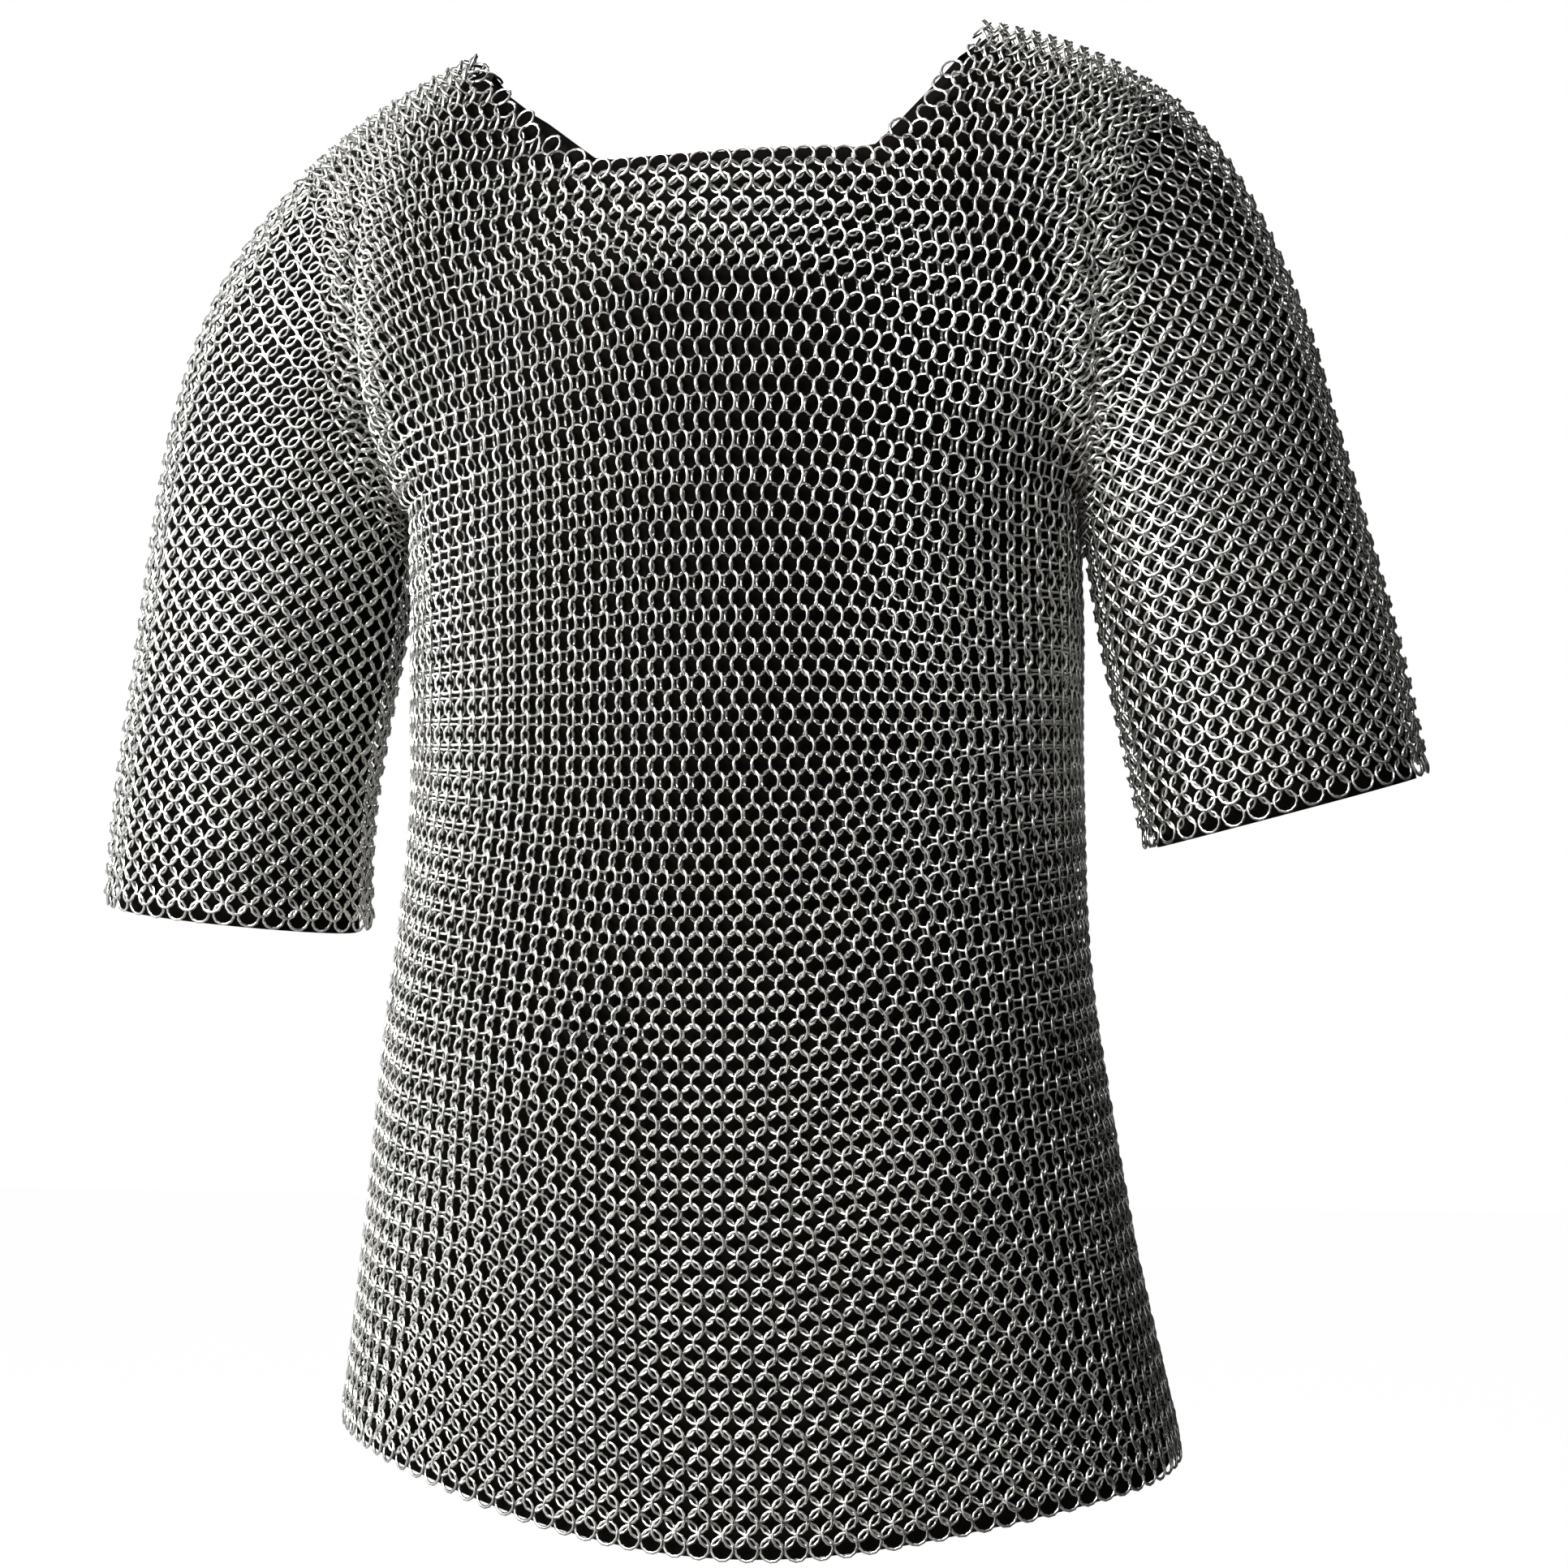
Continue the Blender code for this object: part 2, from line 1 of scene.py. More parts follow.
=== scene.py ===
# %% [markdown]
# # A mail shirt, ring by ring
#
# This lesson dresses the plain shells of a mail shirt with what the real one is made of: about fourteen
# thousand steel rings, each linked through four others, over a thin black cloth. The shells give every
# place and every joint. The ring is modelled once and laid out by the same counts that a mail maker
# would use.

# %% Load the frame
import json
import math
import random
from functools import lru_cache

import bpy
import numpy as np
from mathutils import Matrix, Vector, noise


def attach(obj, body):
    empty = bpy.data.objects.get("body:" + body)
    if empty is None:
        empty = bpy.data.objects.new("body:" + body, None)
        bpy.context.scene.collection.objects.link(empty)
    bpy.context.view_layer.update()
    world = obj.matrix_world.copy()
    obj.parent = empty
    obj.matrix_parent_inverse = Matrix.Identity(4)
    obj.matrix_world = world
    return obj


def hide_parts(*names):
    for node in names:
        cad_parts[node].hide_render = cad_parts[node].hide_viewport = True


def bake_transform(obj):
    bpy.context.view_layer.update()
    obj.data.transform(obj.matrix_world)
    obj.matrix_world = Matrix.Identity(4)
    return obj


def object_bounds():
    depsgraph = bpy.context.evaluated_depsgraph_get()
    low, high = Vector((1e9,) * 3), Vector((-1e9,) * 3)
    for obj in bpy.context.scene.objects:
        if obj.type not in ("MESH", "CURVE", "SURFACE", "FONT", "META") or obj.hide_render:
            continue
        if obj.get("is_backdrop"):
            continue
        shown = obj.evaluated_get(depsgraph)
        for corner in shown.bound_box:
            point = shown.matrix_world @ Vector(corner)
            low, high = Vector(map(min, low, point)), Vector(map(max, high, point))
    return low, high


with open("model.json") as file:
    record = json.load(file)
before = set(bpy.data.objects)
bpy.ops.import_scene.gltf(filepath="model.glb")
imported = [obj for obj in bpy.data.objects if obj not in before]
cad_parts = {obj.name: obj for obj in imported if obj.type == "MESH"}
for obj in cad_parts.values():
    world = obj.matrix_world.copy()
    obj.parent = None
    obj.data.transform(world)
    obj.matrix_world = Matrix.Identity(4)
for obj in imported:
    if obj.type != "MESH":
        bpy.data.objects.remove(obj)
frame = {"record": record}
shell_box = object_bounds()

# %% [markdown]
# ## The camera
#
# The shirt is seen from a little to the wearer's left, level with its middle, from about 1.4 m away. A
# short distance like this shows in the photo: the wearer's left sleeve, which is nearer, looks larger. The
# lens and the small shift put the shirt where the photo has it.

# %% Place the camera
photo_size = 1932
focal_pixels = 3069
camera_turn = math.radians(10.5)
camera_roll = math.radians(-0.8)
camera_distance = 1.40
camera_height = -0.417
axis_pixel = (917, 974)
sensor_width = 36.0
nearest_seen, farthest_seen = 0.05, 50.0

bpy.ops.object.camera_add()
camera = bpy.context.object
camera.name = "camera"
camera.data.sensor_width = sensor_width
camera.data.lens = focal_pixels / photo_size * sensor_width
camera.data.shift_x = (photo_size / 2 - axis_pixel[0]) / photo_size
camera.data.shift_y = (axis_pixel[1] - photo_size / 2) / photo_size
camera.data.clip_start = nearest_seen
camera.data.clip_end = farthest_seen
camera.location = (camera_distance * math.sin(camera_turn), -camera_distance * math.cos(camera_turn),
                   camera_height)
level_turn = Matrix.Rotation(camera_turn, 4, "Z") @ Matrix.Rotation(math.radians(90.0), 4, "X")
camera.rotation_euler = (level_turn @ Matrix.Rotation(camera_roll, 4, "Z")).to_euler()
bpy.context.scene.camera = camera
print("lens %.1f mm, shift %.4f" % (camera.data.lens, camera.data.shift_x))

# %% [markdown]
# ## Colours and nodes
#
# Colours are picked as sRGB hex, as on any colour card, and shaders want linear light, so one function
# turns one into the other. A second one adds a node, sets it and links it, a third starts a material, and a
# fourth takes the larger of two values.

# %% Colour and node helpers
def linear(hex_colour, alpha=1.0):
    """A linear colour from an sRGB hex one."""
    shares = [int(hex_colour[start:start + 2], 16) / 255.0 for start in (1, 3, 5)]
    return tuple(s / 12.92 if s <= 0.04045 else ((s + 0.055) / 1.055) ** 2.4 for s in shares) + (alpha,)


def add_node(tree, kind, values=None, links=None, **settings):
    """Adds a node with its settings, its input values and the sockets linked to its inputs."""
    node = tree.nodes.new(kind)
    for name, value in settings.items():
        setattr(node, name, value)
    for socket, value in (values or {}).items():
        node.inputs[socket].default_value = value
    for socket, source in (links or {}).items():
        tree.links.new(source, node.inputs[socket])
    return node


def new_material(name):
    """An empty material: its tree, shader and output."""
    made = bpy.data.materials.new(name)
    made.use_nodes = True
    made.node_tree.nodes.clear()
    shader = add_node(made.node_tree, "ShaderNodeBsdfPrincipled")
    add_node(made.node_tree, "ShaderNodeOutputMaterial", links={"Surface": shader.outputs["BSDF"]})
    return made, made.node_tree, shader


def larger(tree, first, second):
    """The larger of two values."""
    return add_node(tree, "ShaderNodeMath", links={0: first, 1: second}, operation="MAXIMUM").outputs[0]


print("mid grey is", [round(value, 3) for value in linear("#808080")])

# %% [markdown]
# ## Floor, backdrop and light
#
# The shirt hangs where a wearer's shoulders would hold it, so the floor is 1.4 m below the shoulder points.
# The camera sees floor and world plain white. Bright wire shows whatever stands round it, and in the photo
# that is a room lit from one side, so in reflections both are bright at the left and fade to nearly black at
# the right. A large softbox at the upper left in front is the main lamp, a faint one at the right keeps the
# dark flank from going flat, and one behind draws a rim on the edge rings.

# %% Floor
floor_drop = 1.40
floor_size = 9.0
floor_whiteness = 0.975       # share of plain white that the camera sees; the rest shows the shadow
floor_fade = {"From Min": 0.8, "From Max": -2.4, "To Min": 0.03, "To Max": 0.9}   # metres across, then glow

bpy.ops.object.select_all(action="DESELECT")
bpy.ops.mesh.primitive_plane_add(size=floor_size, location=(0.0, 0.0, -floor_drop))
floor = bpy.context.object
floor.name = "studio_floor"
floor_paint, floor_tree, floor_shader = new_material("matt_white_paint")
floor_shader.inputs["Base Color"].default_value = linear("#F4F4F2")
floor_shader.inputs["Roughness"].default_value = 0.9
floor_grain = add_node(floor_tree, "ShaderNodeTexNoise", {"Scale": 120.0, "Detail": 3.0},
                       {"Vector": add_node(floor_tree, "ShaderNodeTexCoord").outputs["Object"]})
floor_bump = add_node(floor_tree, "ShaderNodeBump", {"Strength": 0.05, "Distance": 0.001},
                      {"Height": floor_grain.outputs["Fac"]})
floor_tree.links.new(floor_bump.outputs["Normal"], floor_shader.inputs["Normal"])
floor_rays = add_node(floor_tree, "ShaderNodeLightPath")
floor_mirrored = larger(floor_tree, floor_rays.outputs["Is Glossy Ray"],
                        floor_rays.outputs["Is Transmission Ray"])
floor_seen = add_node(floor_tree, "ShaderNodeMath", {1: floor_whiteness},
                      {0: floor_rays.outputs["Is Camera Ray"], 2: floor_mirrored}, operation="MULTIPLY_ADD")
floor_across = add_node(floor_tree, "ShaderNodeSeparateXYZ",
                        links={0: add_node(floor_tree, "ShaderNodeTexCoord").outputs["Object"]})
floor_light = add_node(floor_tree, "ShaderNodeMapRange", floor_fade, {"Value": floor_across.outputs["X"]})
floor_strength = larger(floor_tree, floor_rays.outputs["Is Camera Ray"], floor_light.outputs["Result"])
floor_glow = add_node(floor_tree, "ShaderNodeEmission", {"Color": linear("#FFFFFF")},
                      {"Strength": floor_strength})
floor_mix = add_node(floor_tree, "ShaderNodeMixShader", links={0: floor_seen.outputs[0],
                                                               1: floor_shader.outputs["BSDF"],
                                                               2: floor_glow.outputs["Emission"]})
floor_end = next(node for node in floor_tree.nodes if node.type == "OUTPUT_MATERIAL")
floor_tree.links.new(floor_mix.outputs["Shader"], floor_end.inputs["Surface"])
floor.data.materials.append(floor_paint)
floor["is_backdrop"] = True
print("floor at z = %.2f m" % -floor_drop)

# %% World
bright_side = (-0.72, -0.48, 0.50)
wall_fade = {"From Min": 0.25, "From Max": 0.95, "To Min": 0.03, "To Max": 1.0}   # cosine, then brightness
room_brightness = 0.45

scene = bpy.context.scene
scene.view_settings.view_transform = "Standard"
world = bpy.data.worlds.new("white_studio")
scene.world = world
world.use_nodes = True
world.node_tree.nodes.clear()
rays = add_node(world.node_tree, "ShaderNodeLightPath")
seen = larger(world.node_tree, rays.outputs["Is Camera Ray"], rays.outputs["Is Glossy Ray"])
seen_through = larger(world.node_tree, seen, rays.outputs["Is Transmission Ray"])
looking = add_node(world.node_tree, "ShaderNodeTexCoord")
to_window = add_node(world.node_tree, "ShaderNodeVectorMath", {1: bright_side},
                     {0: looking.outputs["Generated"]}, operation="DOT_PRODUCT")
wall_light = add_node(world.node_tree, "ShaderNodeMapRange", wall_fade,
                      {"Value": to_window.outputs["Value"]})
wall_seen = larger(world.node_tree, rays.outputs["Is Camera Ray"], wall_light.outputs["Result"])
room_light = add_node(world.node_tree, "ShaderNodeBackground",
                      {"Color": linear("#FFFFFF"), "Strength": room_brightness})
white_wall = add_node(world.node_tree, "ShaderNodeBackground", {"Color": linear("#FFFFFF")},
                      {"Strength": wall_seen})
room = add_node(world.node_tree, "ShaderNodeMixShader", links={0: seen_through,
                                                               1: room_light.outputs[0],
                                                               2: white_wall.outputs[0]})
add_node(world.node_tree, "ShaderNodeOutputWorld", links={"Surface": room.outputs[0]})
print("bright wall towards", bright_side)

# %% Lamps
def soft_lamp(name, place, aim, size, watts):
    """A square softbox that faces a point."""
    bpy.ops.object.light_add(type="AREA", location=place)
    lamp = bpy.context.object
    lamp.name = name
    lamp.data.shape = "SQUARE"
    lamp.data.size = size
    lamp.data.energy = watts
    lamp.rotation_euler = (Vector(aim) - Vector(place)).to_track_quat("-Z", "Y").to_euler()
    print("%s: %.0f W over %.1f m" % (name, watts, size))


shirt_middle = (0.0, 0.0, -0.4)
soft_lamp("softbox_upper_left", (-1.5, -1.7, 0.9), shirt_middle, 1.2, 260.0)
soft_lamp("softbox_right", (1.9, -1.2, 0.1), shirt_middle, 1.2, 2.0)
soft_lamp("softbox_behind", (-0.4, 2.0, 0.9), shirt_middle, 1.4, 18.0)

# %% [markdown]
# ## The surface the rings lie on
#
# The shells were lofted on one smooth surface. The same few curves are repeated here, so that each ring can
# be given its exact place: from the armpits up, a place is a share across (0 at the breastbone, 1 at the
# armhole, 2 at the cuff) and a share around (-1 at the front armpit row, 0 on the shoulder line, 1 at the
# back). Below the armpits it is a share right round the body and a share down to the hem. A body section is a
# rounded oval, and a column above the armpits is a quarter round on the chest and a half round on a sleeve.

# %% Sizes of the shirt
neck_half_width, neck_back_half_width = 0.141, 0.090
neck_front_drop, neck_back_drop = 0.0785, 0.056
cap_outer_drop, cap_end_reach = 0.210, 0.160
cap_end_angle, cap_half_depth = math.radians(14.0), 0.062
quarter_girth, armpit_drop, waist_drop, hem_front_drop = 0.240, 0.256, 0.396, 0.803
chest_half_width, chest_half_depth = 0.186, 0.120
hem_half_width, hem_half_depth = 0.241, 0.152
armpit_row_arch, hip_row_sag, hem_row_sag = 0.025, 0.025, 0.0275
hem_tilt, hem_ripple, skirt_drift, hip_band_height = 0.0075, 0.0048, 0.006, 0.056
underarm_gap, underarm_straight, underarm_lean = 0.0056, 0.080, 0.001
sleeve_bow, sleeve_half_depth = 0.002, 0.060
side_places = {
    "left": {
        "neck_front_x": 0.089, "cap_start_reach": 0.094, "cap_x": 0.3215, "underarm_bow": 0.009,
        "outer_x": 0.372, "outer_drop": 0.414, "inner_x": 0.2227, "inner_drop": 0.452,
    },
    "right": {
        "neck_front_x": 0.058, "cap_start_reach": 0.072, "cap_x": 0.3358, "underarm_bow": 0.024,
        "outer_x": 0.3787, "outer_drop": 0.479, "inner_x": 0.223, "inner_drop": 0.496,
    },
}
strap_fall_angles = {"left": math.radians(14.7), "right": math.radians(26.0)}
flare_power, section_power, yoke_power, neck_slope_power = 1.6, 2.15, 2.3, 0.85
bulge_start, wrap_start, wrap_length = 0.45, 0.60, 0.50
row_crowding, hip_share, drift_start = 0.07, 0.47, 0.26
sleeve_joint, sleeve_middle = 1.245, 1.62
side_signs = {"left": 1.0, "right": -1.0}
front_sign, back_sign = -1.0, 1.0
curve_steps = 96
neck_share = neck_half_width / quarter_girth
body_height = hem_front_drop - armpit_drop + armpit_row_arch
waist_end = hip_share - hip_band_height / body_height / 2.0
skirt_start = hip_share + hip_band_height / body_height / 2.0
print("quarter girth %.0f mm, body %.0f mm high" % (quarter_girth * 1000, body_height * 1000))

# %% Curves of the body
def ease(share):
    """Smooth step from 0 to 1."""
    share = min(1.0, max(0.0, share))
    return share * share * (3.0 - 2.0 * share)


def metres_along(path):
    """Length of a polyline up to each of its points."""
    steps = np.linalg.norm(np.diff(path, axis=0), axis=1)
    return np.concatenate(([0.0], np.cumsum(steps)))


def along(path, share):
    """Point at a share of a polyline's length."""
    walked = metres_along(path)
    return np.array([np.interp(share * walked[-1], walked, path[:, axis]) for axis in range(path.shape[1])])


def flare(drop):
    return max(0.0, (drop - waist_drop) / (hem_front_drop - waist_drop)) ** flare_power


def section_point(across, half_width, half_depth):
    """Point of a body section at a share of its girth: 0 in the middle of front or back, 1 at the side."""
    turns = np.linspace(0.0, math.pi / 2.0, curve_steps)
    power = 2.0 / section_power
    quarter = np.column_stack((half_width * np.sin(turns) ** power, half_depth * np.cos(turns) ** power))
    x, y = along(quarter, abs(across))
    return math.copysign(x, across), y


def late(down, start):
    """A share down as the share of the way from a start to the hem."""
    return max(0.0, (down - start) / (1.0 - start))


def row_drop(down, across):
    """Depth of a ring row below the shoulder points; rows arch over the chest and sag at the hem."""
    first = armpit_drop - armpit_row_arch
    middle = first + (hem_front_drop - first) * down * (1.0 + row_crowding * (1.0 - down))
    sag = hip_row_sag * ease(down / hip_share) - armpit_row_arch * (1.0 - ease(down / hip_share))
    sag += (hem_row_sag - hip_row_sag) * ease(late(down, hip_share))
    rise = hem_ripple * math.sin(math.pi * across) ** 2 - hem_tilt * math.sin(math.pi / 2.0 * across)
    return middle - sag * math.sin(math.pi / 2.0 * across) ** 2 - rise * ease(late(down, hip_share))


def body_point(across, down, face):
    drop = row_drop(down, across)
    half_width = chest_half_width + (hem_half_width - chest_half_width) * flare(drop)
    half_depth = chest_half_depth + (hem_half_depth - chest_half_depth) * flare(drop)
    x, y = section_point(across, half_width, half_depth)
    drift = skirt_drift * math.sin(math.pi * late(down, drift_start)) ** 2
    return np.array((x - drift, face * y, -drop))


def body_round(across, down):
    """Body surface with across running right round: 0 front, 1 left side, 2 back, 3 right side."""
    turn = across % 4.0
    if turn <= 1.0:
        return body_point(turn, down, front_sign)
    if turn <= 3.0:
        return body_point(2.0 - turn, down, back_sign)
    return body_point(turn - 4.0, down, front_sign)


print("hem side point:", [round(value, 3) for value in body_round(1.0, 1.0)])

# %% Curves of the yoke and the sleeves
def bezier(points, share):
    rest = 1.0 - share
    weights = (rest ** 3, 3.0 * rest * rest * share, 3.0 * rest * share * share, share ** 3)
    return sum(np.array(point) * weight for point, weight in zip(points, weights))


@lru_cache(maxsize=None)
def shoulder_paths(side):
    """The shoulder line in two stretches, breastbone to armhole and armhole to cuff."""
    cuff = side_places[side]
    neck = np.array((neck_half_width, 0.0))
    fall = strap_fall_angles[side]
    start = np.array((math.cos(fall), -math.sin(fall)))
    end = np.array((math.sin(cap_end_angle), -math.cos(cap_end_angle)))
    cap_end = np.array((cuff["cap_x"], -cap_outer_drop))
    bend = (neck, neck + cuff["cap_start_reach"] * start, cap_end - cap_end_reach * end, cap_end)
    curve = [bezier(bend, step / curve_steps) for step in range(curve_steps + 1)]
    cuff_end = np.array((cuff["outer_x"], -cuff["outer_drop"]))
    arm = [cap_end + (cuff_end - cap_end) * share + np.array((sleeve_bow * math.sin(math.pi * share), 0.0))
           for share in np.linspace(0.0, 1.0, curve_steps)[1:]]
    whole = np.array([(0.0, 0.0)] + curve + arm)
    cut = quarter_girth / np.linalg.norm(np.diff(whole, axis=0), axis=1).sum()
    inner = np.array([along(whole, cut * step / curve_steps) for step in range(curve_steps + 1)])
    outer = [along(whole, cut + (1.0 - cut) * step / curve_steps) for step in range(curve_steps + 1)]
    return inner, np.array(outer)


@lru_cache(maxsize=None)
def underarm_path(side):
    """The underarm line, armpit to cuff."""
    cuff = side_places[side]
    armpit = np.array((chest_half_width + underarm_gap, -armpit_drop))
    below = armpit + np.array((underarm_lean, -underarm_straight))
    end = np.array((cuff["inner_x"], -cuff["inner_drop"]))
    bend = (armpit, below, below + (end - below) / 3.0 + np.array((cuff["underarm_bow"], 0.0)), end)
    return np.array([bezier(bend, step / curve_steps) for step in range(curve_steps + 1)])


@lru_cache(maxsize=None)
def yoke_column(across, face, side):
    """One column of the yoke or the sleeve, from the shoulder line down to the armpit row."""
    if across <= 1.0:
        top = along(shoulder_paths(side)[0], across)
        foot = body_point(across, 0.0, face)
        foot[0] += underarm_gap * ease((across - wrap_start) / (1.0 - wrap_start))
    else:
        top = along(shoulder_paths(side)[1], across - 1.0)
        low = along(underarm_path(side), across - 1.0)
        foot = np.array((low[0], 0.0, low[1]))
    depth = cap_half_depth + (sleeve_half_depth - cap_half_depth) * max(0.0, across - 1.0)
    bulge = depth * ease((across - bulge_start) / (1.0 - bulge_start))
    wrap = ease((across - wrap_start) / wrap_length)
    power = 2.0 / yoke_power
    steps = np.linspace(0.0, 1.0, curve_steps + 1)
    quarter_out = np.sin(math.pi / 2.0 * steps) ** power
    quarter_down = 1.0 - np.clip(np.cos(math.pi / 2.0 * steps), 0.0, 1.0) ** power
    half_out = np.sin(math.pi * steps)
    half_down = (1.0 - np.cos(math.pi * steps)) / 2.0
    down = (1.0 - wrap) * quarter_down + wrap * half_down
    out = foot[1] * ((1.0 - wrap) * quarter_out + wrap * steps) + face * bulge * half_out
    return np.column_stack((top[0] + (foot[0] - top[0]) * down, out, top[1] + (foot[2] - top[1]) * down))


fold_depth, fold_width = 0.011, 0.035
fold_line = ((0.0, 1.0), (0.12, 0.94), (0.25, 0.86), (0.40, 0.87), (0.55, 0.92), (0.80, 0.98), (1.0, 1.0))
fold_strength = ((0.0, 0.0), (0.18, 0.0), (0.45, 0.7), (0.70, 1.0), (0.92, 0.8), (1.0, 0.0))


def fold_across(around):
    """Share across at which the sleeve's cloth folds in beside the chest."""
    return float(np.interp(abs(around), *zip(*fold_line)))


def yoke_point(across, around):
    """Point of the yoke, with the fold. A negative across is the wearer's right."""
    around = (around + 1.0) % 2.0 - 1.0 if abs(around) > 1.0 else around
    side = "left" if across >= 0.0 else "right"
    face = front_sign if around < 0.0 else back_sign
    place = along(yoke_column(abs(across), face, side), abs(around))
    off = (abs(across) - fold_across(around)) / fold_width
    inward = fold_depth * float(np.interp(abs(around), *zip(*fold_strength))) * math.exp(-off * off)
    place[0] *= side_signs[side]
    place[1] -= face * inward
    return place


def neck_edge(across, face):
    """Share around at which the neck opening's edge crosses a column."""
    front_x = side_places["left" if across >= 0.0 else "right"]["neck_front_x"]
    in_front = face == front_sign
    deep = neck_front_drop if in_front else neck_back_drop
    corner = front_x if in_front else neck_back_half_width
    slope = (neck_share - abs(across)) / (neck_share - corner / quarter_girth)
    column = yoke_column(abs(across), face, "left")
    walked = metres_along(column)
    drop = deep * min(1.0, max(0.0, slope)) ** neck_slope_power
    return float(np.interp(drop, -column[:, 2], walked / walked[-1]))


print("left armhole at", [round(value, 3) for value in yoke_point(1.0, 0.0)])

# %% [markdown]
# ## The ring count
#
# In the European four-in-one weave every second row is set off by half a ring, and all rings of a row lean
# the same way while the next row leans the other way. So the shirt is a lattice, counted in half rings along
# a row and in whole rows across it. The rows are counted over the shoulder, so on the sleeves they run
# along the arm and on the body they run round it.
#
# The counts come from the photo's rings. Mail hangs wider in one place and closer in another, and a few
# short tables of shares say where. A slow noise, 1.6 mm deep, stirs the lattice, because no mail hangs quite
# even. What is left of a row between chest and sleeve goes into the fold beside the chest.

# %% Count the rings
rows_over_shoulder = 31       # shoulder line to armpit row, front and back alike
body_rows = 73                # armpit row to hem
chest_columns = 26            # breastbone to armhole
sleeve_columns = {"left": 35, "right": 39}   # armhole to cuff, where the sleeve is longest
chest_halves = 2 * chest_columns
edge_inset = 0.6              # rings; keeps the last ring inside the edge
# how far the columns open out over the breastbone, or crowd there: by share around, then by share down
yoke_spread = ((0.0, 0.0), (0.35, 0.20), (0.55, 0.25), (0.75, -0.04), (1.0, -0.14))
body_spread = ((0.0, -0.14), (0.2, -0.12), (0.4, 0.0), (0.55, 0.10), (0.8, 0.06), (1.0, 0.0))
bib_rows = ((0.0, 0.0), (0.40, 0.47), (0.706, 0.704), (1.0, 1.0))   # the rows crowd under the neck opening
crowding_reach = 0.8          # share across at which the rows are even again
rows_ease = 0.12              # the body's rows stand further apart at the chest than at the hem
hem_inset = 0.5               # rows; keeps the hem's rings inside the edge
fold_reach = 0.030            # metres of a row that the fold takes up on each side of its line
closest_pitch = 0.0056        # columns in the fold crowd no closer than this
stir_depth = 0.0016
stir_scale = 11.0
chance_seed = 16              # Blender's noise starts from the clock unless it is given a seed
noise.seed_set(chance_seed)
walk_steps = 80
print("rings in a body row: %d, rows round a sleeve: %d" % (2 * chest_halves, 2 * rows_over_shoulder))

# %% Place the rows and columns
def stirred(point):
    """A lattice point moved a little by a slow, smooth noise."""
    push = noise.noise_vector(Vector(point) * stir_scale)
    return point + np.array(push) * stir_depth


@lru_cache(maxsize=None)
def row_walk(side, around):
    """Shares across along one row, and how many metres of the row lie before each."""
    shares = np.linspace(0.0, 2.0, walk_steps + 1)
    points = np.array([yoke_point(side_signs[side] * max(share, 1e-6), row_place(share, around))
                       for share in shares])
    return shares, metres_along(points)


def row_place(across, around):
    """Share around of a row: even on the sleeves, crowded under the neck opening."""
    crowded = math.copysign(float(np.interp(abs(around), *zip(*bib_rows))), around)
    return around + (crowded - around) * (1.0 - ease(across / crowding_reach))


def spread_share(share, place, table):
    """A column's share of its quarter, opened out at one end or crowded there."""
    return share + float(np.interp(place, *zip(*table))) * share * (1.0 - share)


@lru_cache(maxsize=None)
def row_columns(side, around):
    """Shares across of one row's columns, by half rings from the breastbone.

    From the breastbone they are spaced as the chest is, and from the cuff as the sleeve is. What is left over
    crowds into the fold between the two, and what the fold can't hold is tucked away behind it.
    """
    shares, metres = row_walk(side, around)
    _, top_metres = row_walk(side, 0.5 / rows_over_shoulder)
    top_arm = top_metres[-1] - np.interp(1.0, shares, top_metres)
    pitch = top_arm / (sleeve_columns[side] + edge_inset)
    fold = np.interp(fold_across(around), shares, metres)
    halves = 2 * (chest_columns + sleeve_columns[side])
    places = {}
    for half in range(chest_halves + 1):
        place = np.interp(spread_share(half / chest_halves, abs(around), yoke_spread), shares, metres)
        if place < fold - fold_reach:
            places[half] = place
    low = max(places)
    arm = {}
    for half in range(low + 1, halves + 1):
        place = metres[-1] - ((halves - half) / 2.0 + edge_inset) * pitch
        if place > fold + fold_reach:
            arm[half] = place
    high = min(arm)
    room = arm[high] - places[low]
    between = high - low
    held = min(between, int(room / closest_pitch * 2.0) // 2 * 2 + between % 2)
    for step in range(1, held):
        half = low + step if step <= held // 2 else high - (held - step)
        places[half] = places[low] + room * step / held
    places.update(arm)
    return {half: float(np.interp(place, metres, shares)) for half, place in places.items()}


def body_across(half, down):
    """Share round the body of a column counted in half rings; the back is set off by half a ring."""
    turn = (half / 2.0) / chest_columns % 4.0
    if turn < 1.0:
        return spread_share(turn, down, body_spread)
    if turn > 3.0:
        return 4.0 - spread_share(4.0 - turn, down, body_spread)
    return turn + math.sin(math.pi * (turn - 1.0) / 2.0) / 2.0 / chest_columns


def around_of(row):
    return (row + 0.5) / rows_over_shoulder


def down_of(row):
    share = (row + 0.5) / (body_rows + hem_inset)
    return share + rows_ease * share * (1.0 - share)


def yoke_spot(side, across, around):
    return stirred(yoke_point(side_signs[side] * across, row_place(across, around)))


body_lattice = np.array([[stirred(body_round(body_across(half, down_of(row)), max(0.0, down_of(row))))
                          for half in range(4 * chest_halves)] for row in range(-1, body_rows + 1)])
print("body lattice points:", body_lattice[..., 0].size)
print("columns in a row at the shoulder and under the arm:",
      len(row_columns("left", around_of(0))) // 2,
      len(row_columns("left", around_of(rows_over_shoulder - 1))) // 2)

